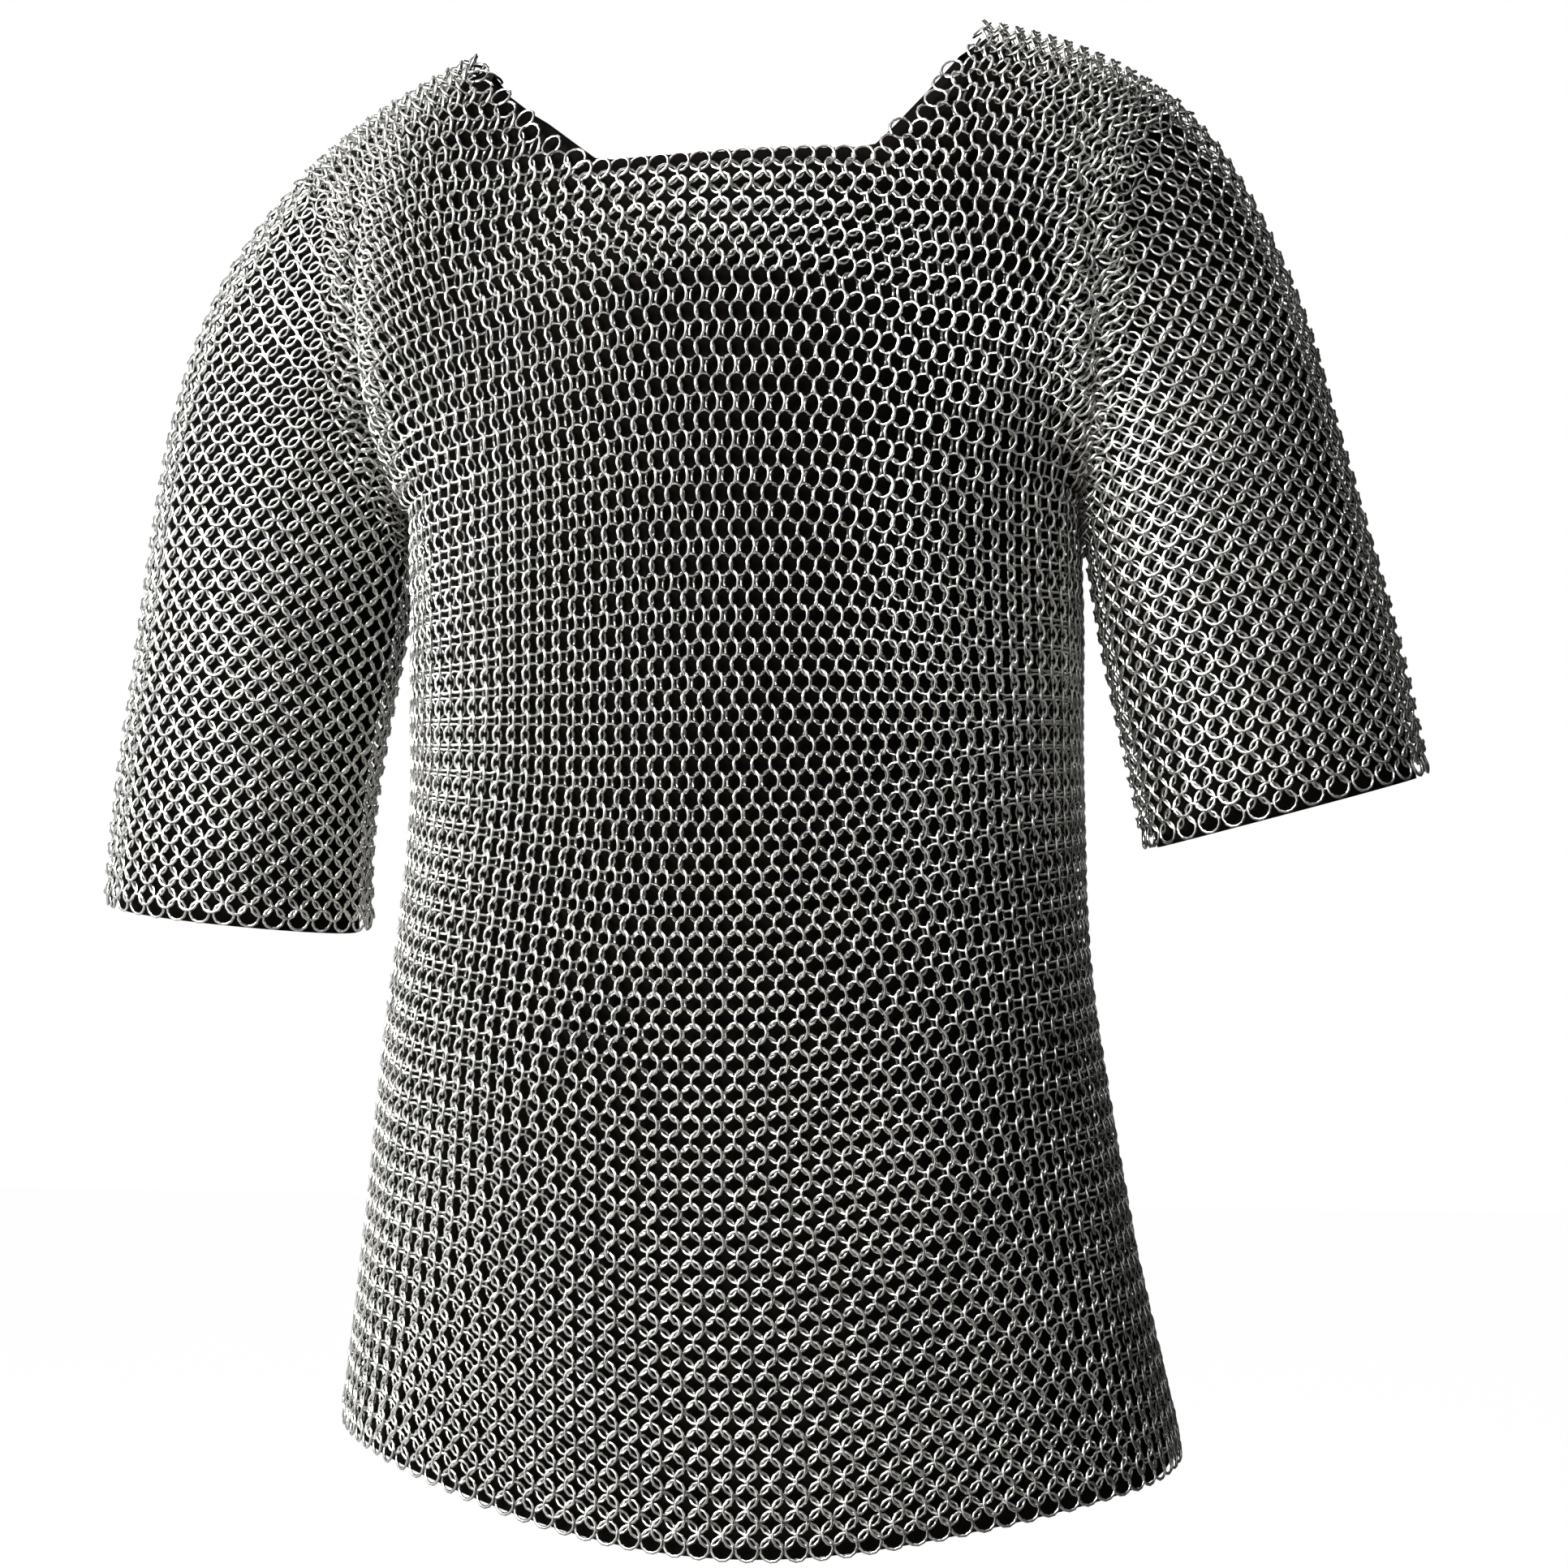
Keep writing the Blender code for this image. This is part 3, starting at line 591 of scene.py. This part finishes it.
# %% [markdown]
# ## One ring
#
# The wire is 16 gauge, 1.6 mm, wound on a 10 mm rod and cut, so a ring is a small open circle whose ends
# butt together, never quite in line. It starts as a torus of very few faces, because it will be there
# fourteen thousand times: twelve sections of four points. A four-sided wire shows thinner than a round one
# of the same radius, so it is made a little thicker, and twelve straight chords run inside their circle, so
# that is made a little wider. In edit mode the section at the butt is then moved aside by a fifth of a
# millimetre.

# %% Model the ring
ring_bore = 0.0100
ring_wire = 0.0016
ring_outside = ring_bore + 2.0 * ring_wire
wire_face_allowance = 1.10
chord_allowance = 1.012
butt_offset = 0.0002

bpy.ops.object.select_all(action="DESELECT")
bpy.ops.mesh.primitive_torus_add(major_segments=12, minor_segments=4,
                                 major_radius=(ring_bore + ring_wire) / 2.0 * chord_allowance,
                                 minor_radius=ring_wire / 2.0 * wire_face_allowance)
ring = bpy.context.object
ring.name = "one_ring"
bpy.ops.object.mode_set(mode="EDIT")
bpy.ops.mesh.select_all(action="DESELECT")
bpy.ops.object.mode_set(mode="OBJECT")
for corner in ring.data.vertices:
    corner.select = corner.co.x > 0.0 and abs(corner.co.y) < ring_wire / 10.0
print("butt points:", sum(corner.select for corner in ring.data.vertices))
bpy.ops.object.mode_set(mode="EDIT")
bpy.ops.transform.translate(value=(0.0, 0.0, butt_offset))
bpy.ops.object.mode_set(mode="OBJECT")
bpy.ops.object.shade_smooth()
ring.hide_render = True
print("one ring has", len(ring.data.polygons), "faces")

# %% [markdown]
# ## Laying the rings
#
# A ring lies in the surface, leaning about the line that crosses its row: where the rings of a row are set
# close they must lean more to pass each other, like tilted dominoes. The places become the points of a small
# mesh with two values each, the turn and a tone, and a node group copies the ring to every point. Applying
# that modifier gives each panel its own plain mesh. A particle system or fourteen thousand separate objects
# would do the same, far more slowly.

# %% The copying node group
def ring_copier():
    group = bpy.data.node_groups.new("lay_rings", "GeometryNodeTree")
    group.interface.new_socket("Places", in_out="INPUT", socket_type="NodeSocketGeometry")
    group.interface.new_socket("Rings", in_out="OUTPUT", socket_type="NodeSocketGeometry")
    places = add_node(group, "NodeGroupInput")
    model = add_node(group, "GeometryNodeObjectInfo", {"Object": ring})
    turn = add_node(group, "GeometryNodeInputNamedAttribute", {"Name": "turn"}, data_type="FLOAT_VECTOR")
    spin = add_node(group, "FunctionNodeEulerToRotation", links={"Euler": turn.outputs["Attribute"]})
    copies = add_node(group, "GeometryNodeInstanceOnPoints", links={
        "Points": places.outputs["Places"], "Instance": model.outputs["Geometry"],
        "Rotation": spin.outputs["Rotation"]})
    real = add_node(group, "GeometryNodeRealizeInstances", links={"Geometry": copies.outputs["Instances"]})
    add_node(group, "NodeGroupOutput", links={"Rings": real.outputs["Geometry"]})
    return group


lay_rings = ring_copier()
print("nodes in the copier:", len(lay_rings.nodes))

# %% [markdown]
# ## Turning and sorting the rings
#
# Neighbours in a row have to pass each other, so the closer they are set the more they lean, while a row
# drawn apart lies flat, and so do the rings of an edge, which no next row holds. Each ring also has a little
# play, a random spin that puts its butt anywhere, and a tone for its plating.
#
# The mail is one cloth, but what moves has to be a piece of its own, so each ring is given to a panel. The
# shoulder's two bending strips part along a slanting plane, because an arm swings about a line that falls
# outward. No ring lies inside the neck opening, and those next to its edge are its edge row.

# %% Turn a ring
lean_step = 0.0030            # least distance between the planes of two neighbours in a row
sine_limit = 0.99             # rings set closer than that step still get a lean
open_pitch = 0.0120           # rings this far apart in a row lie flat, closer ones lean
steepest_lean = math.radians(50.0)
edge_lean = math.radians(7.0)
hand_play = math.radians(4.0)
dice = random.Random(chance_seed)
panels = {}


def add_ring(panel, place, row_way, column_way, outward_sign, lean_sign, flat):
    """Notes one ring: its place, its turn and its tone."""
    pitch = np.linalg.norm(row_way)
    row_way = row_way / pitch
    outward = outward_sign * np.cross(row_way, column_way)
    outward = outward / np.linalg.norm(outward)
    lean = max(math.asin(min(sine_limit, lean_step / pitch)), math.acos(min(1.0, pitch / open_pitch)))
    lean = edge_lean if flat else min(steepest_lean, lean)
    lean += dice.gauss(0.0, hand_play / 2.0)
    droop = dice.gauss(0.0, hand_play / 2.0)
    side = Vector(row_way * math.cos(lean) + lean_sign * outward * math.sin(lean))
    ring_axis = side.cross(Vector(np.cross(outward, row_way)))
    ring_axis = Matrix.Rotation(droop, 3, side) @ ring_axis
    third = ring_axis.cross(side)
    spin = Matrix.Rotation(dice.uniform(-math.pi, math.pi), 3, ring_axis)
    turn = (spin @ Matrix((side, third, ring_axis)).transposed()).to_euler()
    panels.setdefault(panel, []).append((place, tuple(turn), dice.random(), outward))


print("leans: edge %.0f degrees, steepest %.0f" % (math.degrees(edge_lean), math.degrees(steepest_lean)))

# %% Name the panel of a yoke ring
neck_clearance = 0.0062       # least distance from a ring's middle to the neck opening's edge
neck_edge_reach = 0.0065      # the neck's edge rows are this much wider
neck_line_steps = 120
strap_margin = 0.03           # share across beyond the neck opening where its edge still counts
ridge_share = 0.5             # share around where straps meet chest and back, and a sleeve's halves meet
reach_slope = (0.975, -0.22)  # the shoulder's bending planes fall outward by 13 degrees
split_reach = 0.2640          # the swing is taken inside this reach, the arm's lift outside
split_shares = np.linspace(1.0, 1.9, 61)


def outward_reach(point):
    """How far out a point lies, square to the planes that the shoulder bends along."""
    return abs(point[0]) * reach_slope[0] + point[2] * reach_slope[1]


@lru_cache(maxsize=None)
def flex_split(side, around):
    """Share across at which a row leaves the swing's strip for the lift's."""
    reaches = [outward_reach(yoke_point(side_signs[side] * share, around)) for share in split_shares]
    return float(np.interp(split_reach, reaches, split_shares))


neck_line = {face: np.array([yoke_point(across, face * neck_edge(across, face))
                             for across in np.linspace(-neck_share, neck_share, neck_line_steps + 1)])
             for face in (front_sign, back_sign)}


def yoke_panel(across, around, place):
    """The panel that a yoke or sleeve ring belongs to, or None inside the neck opening."""
    face = front_sign if around < 0.0 else back_sign
    word = "front" if face == front_sign else "back"
    side = "left" if across >= 0.0 else "right"
    width = abs(across)
    if width < neck_share + strap_margin:
        from_edge = np.linalg.norm(neck_line[face] - place, axis=1).min()
        inside = width < neck_share and abs(around) < neck_edge(across, face)
        if inside or from_edge < neck_clearance:
            return None
        if width >= neck_share:
            return side + "_shoulder_strap"
        return "neck_edge_row_" + word if from_edge < neck_clearance + neck_edge_reach else word + "_bib"
    if width <= 1.0:
        if abs(around) < ridge_share:
            return side + "_shoulder_strap"
        return side + ("_chest_panel" if face == front_sign else "_back_panel")
    if width < flex_split(side, around):
        return side + "_shoulder_flex_inner"
    if width < sleeve_joint:
        return side + "_shoulder_flex_outer"
    facing = "_outer" if abs(around) < ridge_share else "_inner"
    return side + ("_upper_sleeve" if width < sleeve_middle else "_lower_sleeve") + facing


print("neck opening's edge points:", sum(len(line) for line in neck_line.values()))

# %% Sort the yoke's rings
half_row = 0.5 / rows_over_shoulder
for side, sign in side_signs.items():
    last_half = 2 * (chest_columns + sleeve_columns[side])
    for row in range(-rows_over_shoulder, rows_over_shoulder):
        around = around_of(row)
        columns = sorted(row_columns(side, around).items())
        for at, (half, across) in enumerate(columns):
            if (half - row) % 2 or (half == 0 and side == "right"):
                continue
            place = yoke_spot(side, across, around)
            panel = yoke_panel(sign * across, row_place(across, around), place)
            if panel is None:
                continue
            last = half == last_half
            if last:
                panel = side + "_cuff_edge_row"
            before = columns[at - 1][1] if at else -columns[1][1]
            after = columns[at + 1][1] if not last else 2.0 * across - before
            near = yoke_spot(side, abs(before), around) if at else yoke_spot("right", after, around)
            row_way = sign * (yoke_spot(side, min(after, 2.0), around) - near)
            if last:
                row_way = row_way * (after - before) / (min(after, 2.0) - before)
            up, down = around + half_row, around - half_row
            if across <= 1.0:
                up, down = min(up, 1.0), max(down, -1.0)
            column_way = yoke_spot(side, across, up) - yoke_spot(side, across, down)
            add_ring(panel, place, row_way, column_way, 1.0,
                     -1.0 if row % 2 else 1.0, last or panel.startswith("neck_edge"))

print("panels so far:", len(panels), "rings:", sum(map(len, panels.values())))

# %% Sort the body's rings
def quarter_at(turn):
    """The quarter of the body that a share round it lies in."""
    if turn < neck_share or turn > 4.0 - neck_share:
        return "front"
    if turn < 2.0 - neck_share:
        return "left_side"
    return "back" if turn < 2.0 + neck_share else "right_side"


def body_panel(across, row):
    """The panel that a ring below the armpits belongs to."""
    if row == body_rows - 1:
        return "hem_edge_row"
    if down_of(row) < waist_end:
        return "waist_" + quarter_at(across % 4.0)
    return "hip_flex_band" if down_of(row) < skirt_start else "skirt_" + quarter_at(across % 4.0)


round_halves = 4 * chest_halves
for row in range(body_rows):
    count = row + rows_over_shoulder + 1     # rows counted on from the yoke's
    for half in range(round_halves):
        if (half - count) % 2:
            continue
        panel = body_panel(body_across(half, down_of(row)), row)
        row_way = body_lattice[row + 1, (half + 1) % round_halves] - body_lattice[row + 1, half - 1]
        column_way = body_lattice[row + 2, half] - body_lattice[row, half]
        add_ring(panel, body_lattice[row + 1, half], row_way, column_way, -1.0,
                 -1.0 if count % 2 else 1.0, row == body_rows - 1)

print("rings in all:", sum(map(len, panels.values())))

# %% [markdown]
# ## Zinc-plated steel wire
#
# The rings are mild steel wire, drawn, coiled, cut and electroplated with bright zinc. It is almost white and
# quite neutral, with a soft sheen from the plating bath, and no two rings catch the light quite alike. Each
# ring carries a tone between 0 and 1 that shifts its colour, and a fine noise gives the wire its plating
# grain, drawn coarser than the real one so that it shows. The rings' inner sides are painted dark grey:
# painted shade, where the front arcs and the black cloth behind them shade the wire. Each point of a ring
# says how far it stands out from the mail's middle surface, and the painted shade fades from the inside
# outward.

# %% Steel materials
# painted shade: the dark grey painted on the rings' inner sides, and the depths over which it fades out
painted_shade_colour = "#45433F"
painted_shade_depths = {"From Min": -4.2, "From Max": -0.4}   # millimetres outward of the mail's middle surface
dull_end = 0.35               # tones below this share are all dull
smoother, rougher = 0.07, 0.10


def zinc_plated_steel(name, dull, bright, rough):
    made, tree, shader = new_material(name)
    where = {"Vector": add_node(tree, "ShaderNodeTexCoord").outputs["Object"]}
    tone = add_node(tree, "ShaderNodeAttribute", attribute_name="tone")
    proud = add_node(tree, "ShaderNodeAttribute", attribute_name="proud")
    painted_shade_fade = add_node(tree, "ShaderNodeMapRange", painted_shade_depths, {"Value": proud.outputs["Fac"]})
    grain = add_node(tree, "ShaderNodeTexNoise", {"Scale": 900.0, "Detail": 3.0, "Roughness": 0.6}, where)
    patches = add_node(tree, "ShaderNodeTexNoise", {"Scale": 14.0, "Detail": 2.0}, where)
    shade = add_node(tree, "ShaderNodeMath", {1: 0.6}, {0: tone.outputs["Fac"], 2: patches.outputs["Fac"]},
                     operation="MULTIPLY_ADD")
    colour = add_node(tree, "ShaderNodeValToRGB", links={"Fac": shade.outputs[0]})
    colour.color_ramp.elements[0].position = dull_end
    colour.color_ramp.elements[0].color = linear(dull)
    colour.color_ramp.elements[1].color = linear(bright)
    roughness = add_node(tree, "ShaderNodeMapRange", {"To Min": rough - smoother, "To Max": rough + rougher},
                         {"Value": grain.outputs["Fac"]})
    bump = add_node(tree, "ShaderNodeBump", {"Strength": 0.12, "Distance": 0.0002},
                    {"Height": grain.outputs["Fac"]})
    # painted shade: the plating's colour turns dark grey where a point of a ring lies deep behind the mail's
    # middle surface
    painted_shade_mix = add_node(tree, "ShaderNodeMix", {"A": linear(painted_shade_colour)},
                    {"Factor": painted_shade_fade.outputs["Result"], "B": colour.outputs["Color"]}, data_type="RGBA")
    tree.links.new(painted_shade_mix.outputs["Result"], shader.inputs["Base Color"])
    tree.links.new(roughness.outputs["Result"], shader.inputs["Roughness"])
    tree.links.new(bump.outputs["Normal"], shader.inputs["Normal"])
    shader.inputs["Metallic"].default_value = 1.0
    return made


ring_steel = zinc_plated_steel("zinc_plated_steel_wire", "#D4D4D1", "#F8F7F3", 0.20)
edge_steel = zinc_plated_steel("zinc_plated_steel_edge_rings", "#D2D2CF", "#F8F7F3", 0.21)
print("steels:", ring_steel.name, edge_steel.name)

# %% [markdown]
# ## Lay every panel
#
# Each panel of rings replaces the plain shell of the same name, and most move with the same body. The mail
# that
# crosses a joint is in pieces of its own: at the hips a band between waist and skirt, and at each shoulder
# two strips, an inner one for the swing and the rest of the sleeve for the lift, whose underarm is bunched at
# rest.
# These pieces and the sleeves only have their places baked and ride on no body.

# %% Make one panel
mm_per_metre = 1000.0


def lay_panel(panel, rings, metal):
    """One panel's rings as a mesh, with each ring's tone and how proud each of its points stands."""
    name = panel + "_rings"
    carrier = bpy.data.meshes.new(name)
    places = np.array([ring[0] for ring in rings])
    carrier.from_pydata(places.tolist(), [], [])
    turn = carrier.attributes.new("turn", "FLOAT_VECTOR", "POINT")
    turn.data.foreach_set("vector", [value for ring in rings for value in ring[1]])
    tone = carrier.attributes.new("tone", "FLOAT", "POINT")
    tone.data.foreach_set("value", [ring[2] for ring in rings])
    piece = bpy.data.objects.new(name, carrier)
    scene.collection.objects.link(piece)
    bpy.ops.object.select_all(action="DESELECT")
    bpy.context.view_layer.objects.active = piece
    piece.select_set(True)
    modifier = piece.modifiers.new("lay_rings", "NODES")
    modifier.node_group = lay_rings
    bpy.ops.object.modifier_apply(modifier=modifier.name)
    if "turn" in piece.data.attributes:
        piece.data.attributes.remove(piece.data.attributes["turn"])
    corners = np.empty(3 * len(piece.data.vertices))
    piece.data.vertices.foreach_get("co", corners)
    from_middle = corners.reshape(len(rings), -1, 3) - places[:, None, :]
    # how far each point stands out from the mail's middle surface; the steel's painted shade darkens the deep
    # points
    proud = np.einsum("rcx,rx->rc", from_middle, np.array([ring[3] for ring in rings]))
    assert np.abs(from_middle).max() < ring_outside, "the rings are not in the order of their places"
    outer = piece.data.attributes.new("proud", "FLOAT", "POINT")
    outer.data.foreach_set("value", (proud * mm_per_metre).ravel())
    piece.data.materials.clear()
    piece.data.materials.append(metal)
    return piece


print("panels to lay:", len(panels))

# %% Set the motion
def body_named(node):
    """The body that a shell rides on."""
    for body, nodes in frame["record"]["behaviour"]["bodies"].items():
        if node in nodes:
            return body
    raise ValueError(node)


def set_motion(piece, panel):
    """Rides a piece on its shell's body by the name of its panel; a joint's pieces and the sleeves only get
    their place baked.
    """
    if "shoulder_flex_inner" in panel:
        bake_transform(piece)
    elif "shoulder_flex" in panel or "sleeve" in panel:
        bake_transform(piece)
    elif "hip_flex" in panel:
        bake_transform(piece)
    else:
        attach(piece, body_named(panel))


# %% Lay the panels
for panel, rings in panels.items():
    edge = "edge_row" in panel
    piece = lay_panel(panel, rings, edge_steel if edge else ring_steel)
    node = panel.replace("_flex_inner", "_flex").replace("_flex_outer", "_flex")
    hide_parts(node)
    set_motion(piece, panel)
    print("%-28s %4d rings" % (panel, len(rings)))

bpy.data.objects.remove(ring)

# %% [markdown]
# ## The black cloth
#
# Behind every gap the photo is black, right to the edges: the mail hangs over a thin black cotton lining.
# It is one plain-woven sheet per panel, so each starts as a grid in its own flat size, which also gives the
# weave its directions, and is then laid on the surface just behind the rings and given its thickness.

# %% Cotton material
waves_per_scale = 20.0        # the wave texture's bands in one unit of its scale


def cotton(name, thread_pitch):
    made, tree, shader = new_material(name)
    flat = {"Vector": add_node(tree, "ShaderNodeUVMap", uv_map="UVMap").outputs["UV"]}
    wave = {"Scale": 1.0 / thread_pitch / waves_per_scale, "Distortion": 0.4}
    warp = add_node(tree, "ShaderNodeTexWave", wave, flat, bands_direction="X")
    weft = add_node(tree, "ShaderNodeTexWave", wave, flat, bands_direction="Y")
    weave = add_node(tree, "ShaderNodeMath", links={0: warp.outputs["Fac"], 1: weft.outputs["Fac"]},
                     operation="MULTIPLY")
    dye = add_node(tree, "ShaderNodeTexNoise", {"Scale": 22.0, "Detail": 4.0}, flat)
    colour = add_node(tree, "ShaderNodeValToRGB", links={"Fac": dye.outputs["Fac"]})
    colour.color_ramp.elements[0].color = linear("#030202")
    colour.color_ramp.elements[1].color = linear("#090706")
    bump = add_node(tree, "ShaderNodeBump", {"Strength": 0.4, "Distance": 0.0003},
                    {"Height": weave.outputs[0]})
    tree.links.new(colour.outputs["Color"], shader.inputs["Base Color"])
    tree.links.new(bump.outputs["Normal"], shader.inputs["Normal"])
    shader.inputs["Roughness"].default_value = 0.95
    shader.inputs["Specular IOR Level"].default_value = 0.03
    return made


black_cotton = cotton("black_cotton_plain_weave", 0.0012)
print("cloth:", black_cotton.name)

# %% Find the cloth's surface
cloth_depth = 0.0068          # from the mail's middle surface to the cloth
normal_step = 0.004


def outward_at(surface, across, other, sign):
    """The direction square to a surface."""
    step = normal_step
    first = surface(across + step, other) - surface(across - step, other)
    second = surface(across, other + step) - surface(across, other - step)
    normal = sign * np.cross(first, second)
    return normal / np.linalg.norm(normal)


def yoke_cloth(across, around):
    """Point just behind the yoke's mail."""
    inside = max(-1.0 + normal_step, min(1.0 - normal_step, around))
    width = min(abs(across), 2.0 - normal_step)
    if abs(width - 1.0) < 2.0 * normal_step:
        width = 1.0 - 2.0 * normal_step
    return yoke_point(across, around) - cloth_depth * outward_at(yoke_point, math.copysign(width, across),
                                                                 inside, 1.0)


def body_cloth(across, down):
    inside = max(normal_step, min(1.0 - normal_step, down))
    return body_round(across, down) - cloth_depth * outward_at(body_round, across, inside, -1.0)


print("cloth under the breastbone:", [round(value, 3) for value in yoke_cloth(0.0, -1.0)])

# %% Lay one sheet
cloth_thickness = 0.0008
weld_distance = 0.0001


def lay_cloth(name, flat, steps, place, closed):
    """A grid in its flat size, laid on the surface by place(share, share)."""
    bpy.ops.object.select_all(action="DESELECT")
    bpy.ops.mesh.primitive_grid_add(x_subdivisions=steps[0], y_subdivisions=steps[1], size=1.0)
    piece = bpy.context.object
    piece.name = piece.data.name = name
    layer = piece.data.uv_layers.active
    layer.name = "UVMap"
    for spot in layer.data:
        spot.uv = (spot.uv[0] * flat[0], spot.uv[1] * flat[1])
    for corner in piece.data.vertices:
        corner.co = place(corner.co.x + 0.5, corner.co.y + 0.5)
    bpy.ops.object.mode_set(mode="EDIT")
    bpy.ops.mesh.select_all(action="SELECT")
    if closed:
        bpy.ops.mesh.remove_doubles(threshold=weld_distance)
    bpy.ops.object.mode_set(mode="OBJECT")
    area = sum(face.area for face in piece.data.polygons)
    solid = piece.modifiers.new("thickness", "SOLIDIFY")
    solid.thickness = cloth_thickness
    solid.offset = -1.0
    bpy.ops.object.modifier_apply(modifier=solid.name)
    bpy.ops.object.shade_smooth()
    piece.data.materials.append(black_cotton)
    print("%-28s %.3f m2" % (name, area))
    return piece, area


def hang_cloth(node, flat, steps, place, closed, panel=None):
    """Lays one sheet in a shell's stead, hides the shell and sets the sheet's motion."""
    piece, area = lay_cloth((panel or node) + "_cloth", flat, steps, place, closed)
    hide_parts(node)
    set_motion(piece, panel or node)


print("cloth thickness %.1f mm" % (cloth_thickness * 1000))

# %% [markdown]
# ## The sheets
#
# A bib's sheet starts just under the neck opening's edge, where the edge rings still cover it. An arm's cloth
# parts where its mail does, and the body's three sheets go right round.

# %% Lay the bibs
bib_width, bib_length = 2.0 * neck_half_width, 0.20
slope_start, slope_width = 0.62, 0.12          # shares of the opening's half width, where its slopes start
level_hem, slope_hem = 0.0004, 0.0021          # metres from the opening's edge, and more on the slopes

for face, word in ((front_sign, "front"), (back_sign, "back")):
    def bib_place(u, v, face=face):
        across = (2.0 * u - 1.0) * neck_share
        slope = ease((abs(across) / neck_share - slope_start) / slope_width)
        edge = neck_edge(across, face) + (level_hem + slope_hem * slope) / armpit_drop
        share = edge + (1.0 - edge) * v
        return yoke_cloth(across, face * share)
    hang_cloth(word + "_bib_lining", (bib_width, bib_length), (28, 16), bib_place, False)

# %% Lay the shoulders and the sleeves
shoulder_width, shoulder_length, shoulder_fullness = quarter_girth - neck_half_width, 0.60, 1.2
arm_girth, arm_width = 0.42, 0.50              # the weave's flat length round an arm, and the cut width
arm_strips = (("_shoulder_flex_inner", 0.18, 8), ("_shoulder_flex_outer", 0.12, 5), ("_sleeve", 0.70, 18))
least_strip = 0.03                             # share across that the outer strip always keeps

for side, sign in side_signs.items():
    def shoulder_place(u, v, sign=sign):
        across = neck_share + (1.0 - neck_share) * u
        return yoke_cloth(sign * across, 2.0 * v - 1.0)
    hang_cloth(side + "_shoulder_lining", (shoulder_width, shoulder_length), (10, 48), shoulder_place, False)
    for strip, (panel, share, count) in enumerate(arm_strips):
        def arm_place(u, v, side=side, sign=sign, strip=strip):
            around = 2.0 * u - 1.0
            split = flex_split(side, around)
            limits = (1.0, split, max(sleeve_joint, split + least_strip), 2.0)
            return yoke_cloth(sign * (limits[strip] + (limits[strip + 1] - limits[strip]) * v), around)
        node = side + ("_sleeve_lining" if panel == "_sleeve" else "_shoulder_flex_lining")
        hang_cloth(node, (arm_girth, arm_girth * share), (56, count), arm_place, True,
                   panel=side + panel)

body_girth, body_width = 1.1, 1.3              # the weave's flat length round the body, and the cut width

for word, low, high, count in (("waist_lining", 0.0, waist_end, 18),
                               ("hip_flex_lining", waist_end, skirt_start, 6),
                               ("skirt_lining", skirt_start, 1.0, 20)):
    def body_place(u, v, low=low, high=high):
        return body_cloth(4.0 * u, low + (high - low) * v)
    hang_cloth(word, (body_girth, body_height * (high - low)), (96, count), body_place, True)

# %% [markdown]
# ## Finish
#
# The box of the ringed shirt is printed beside the box of its shells. The ringed shirt
# has to stay inside the box of its shells, apart from a few millimetres.

# %% Finish
dressed_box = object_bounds()
for axis, low, high, new_low, new_high in zip("xyz", *shell_box, *dressed_box):
    print("%s: %.1f to %.1f mm, dressed %.1f to %.1f" % (axis, low * 1000, high * 1000,
                                                         new_low * 1000, new_high * 1000))
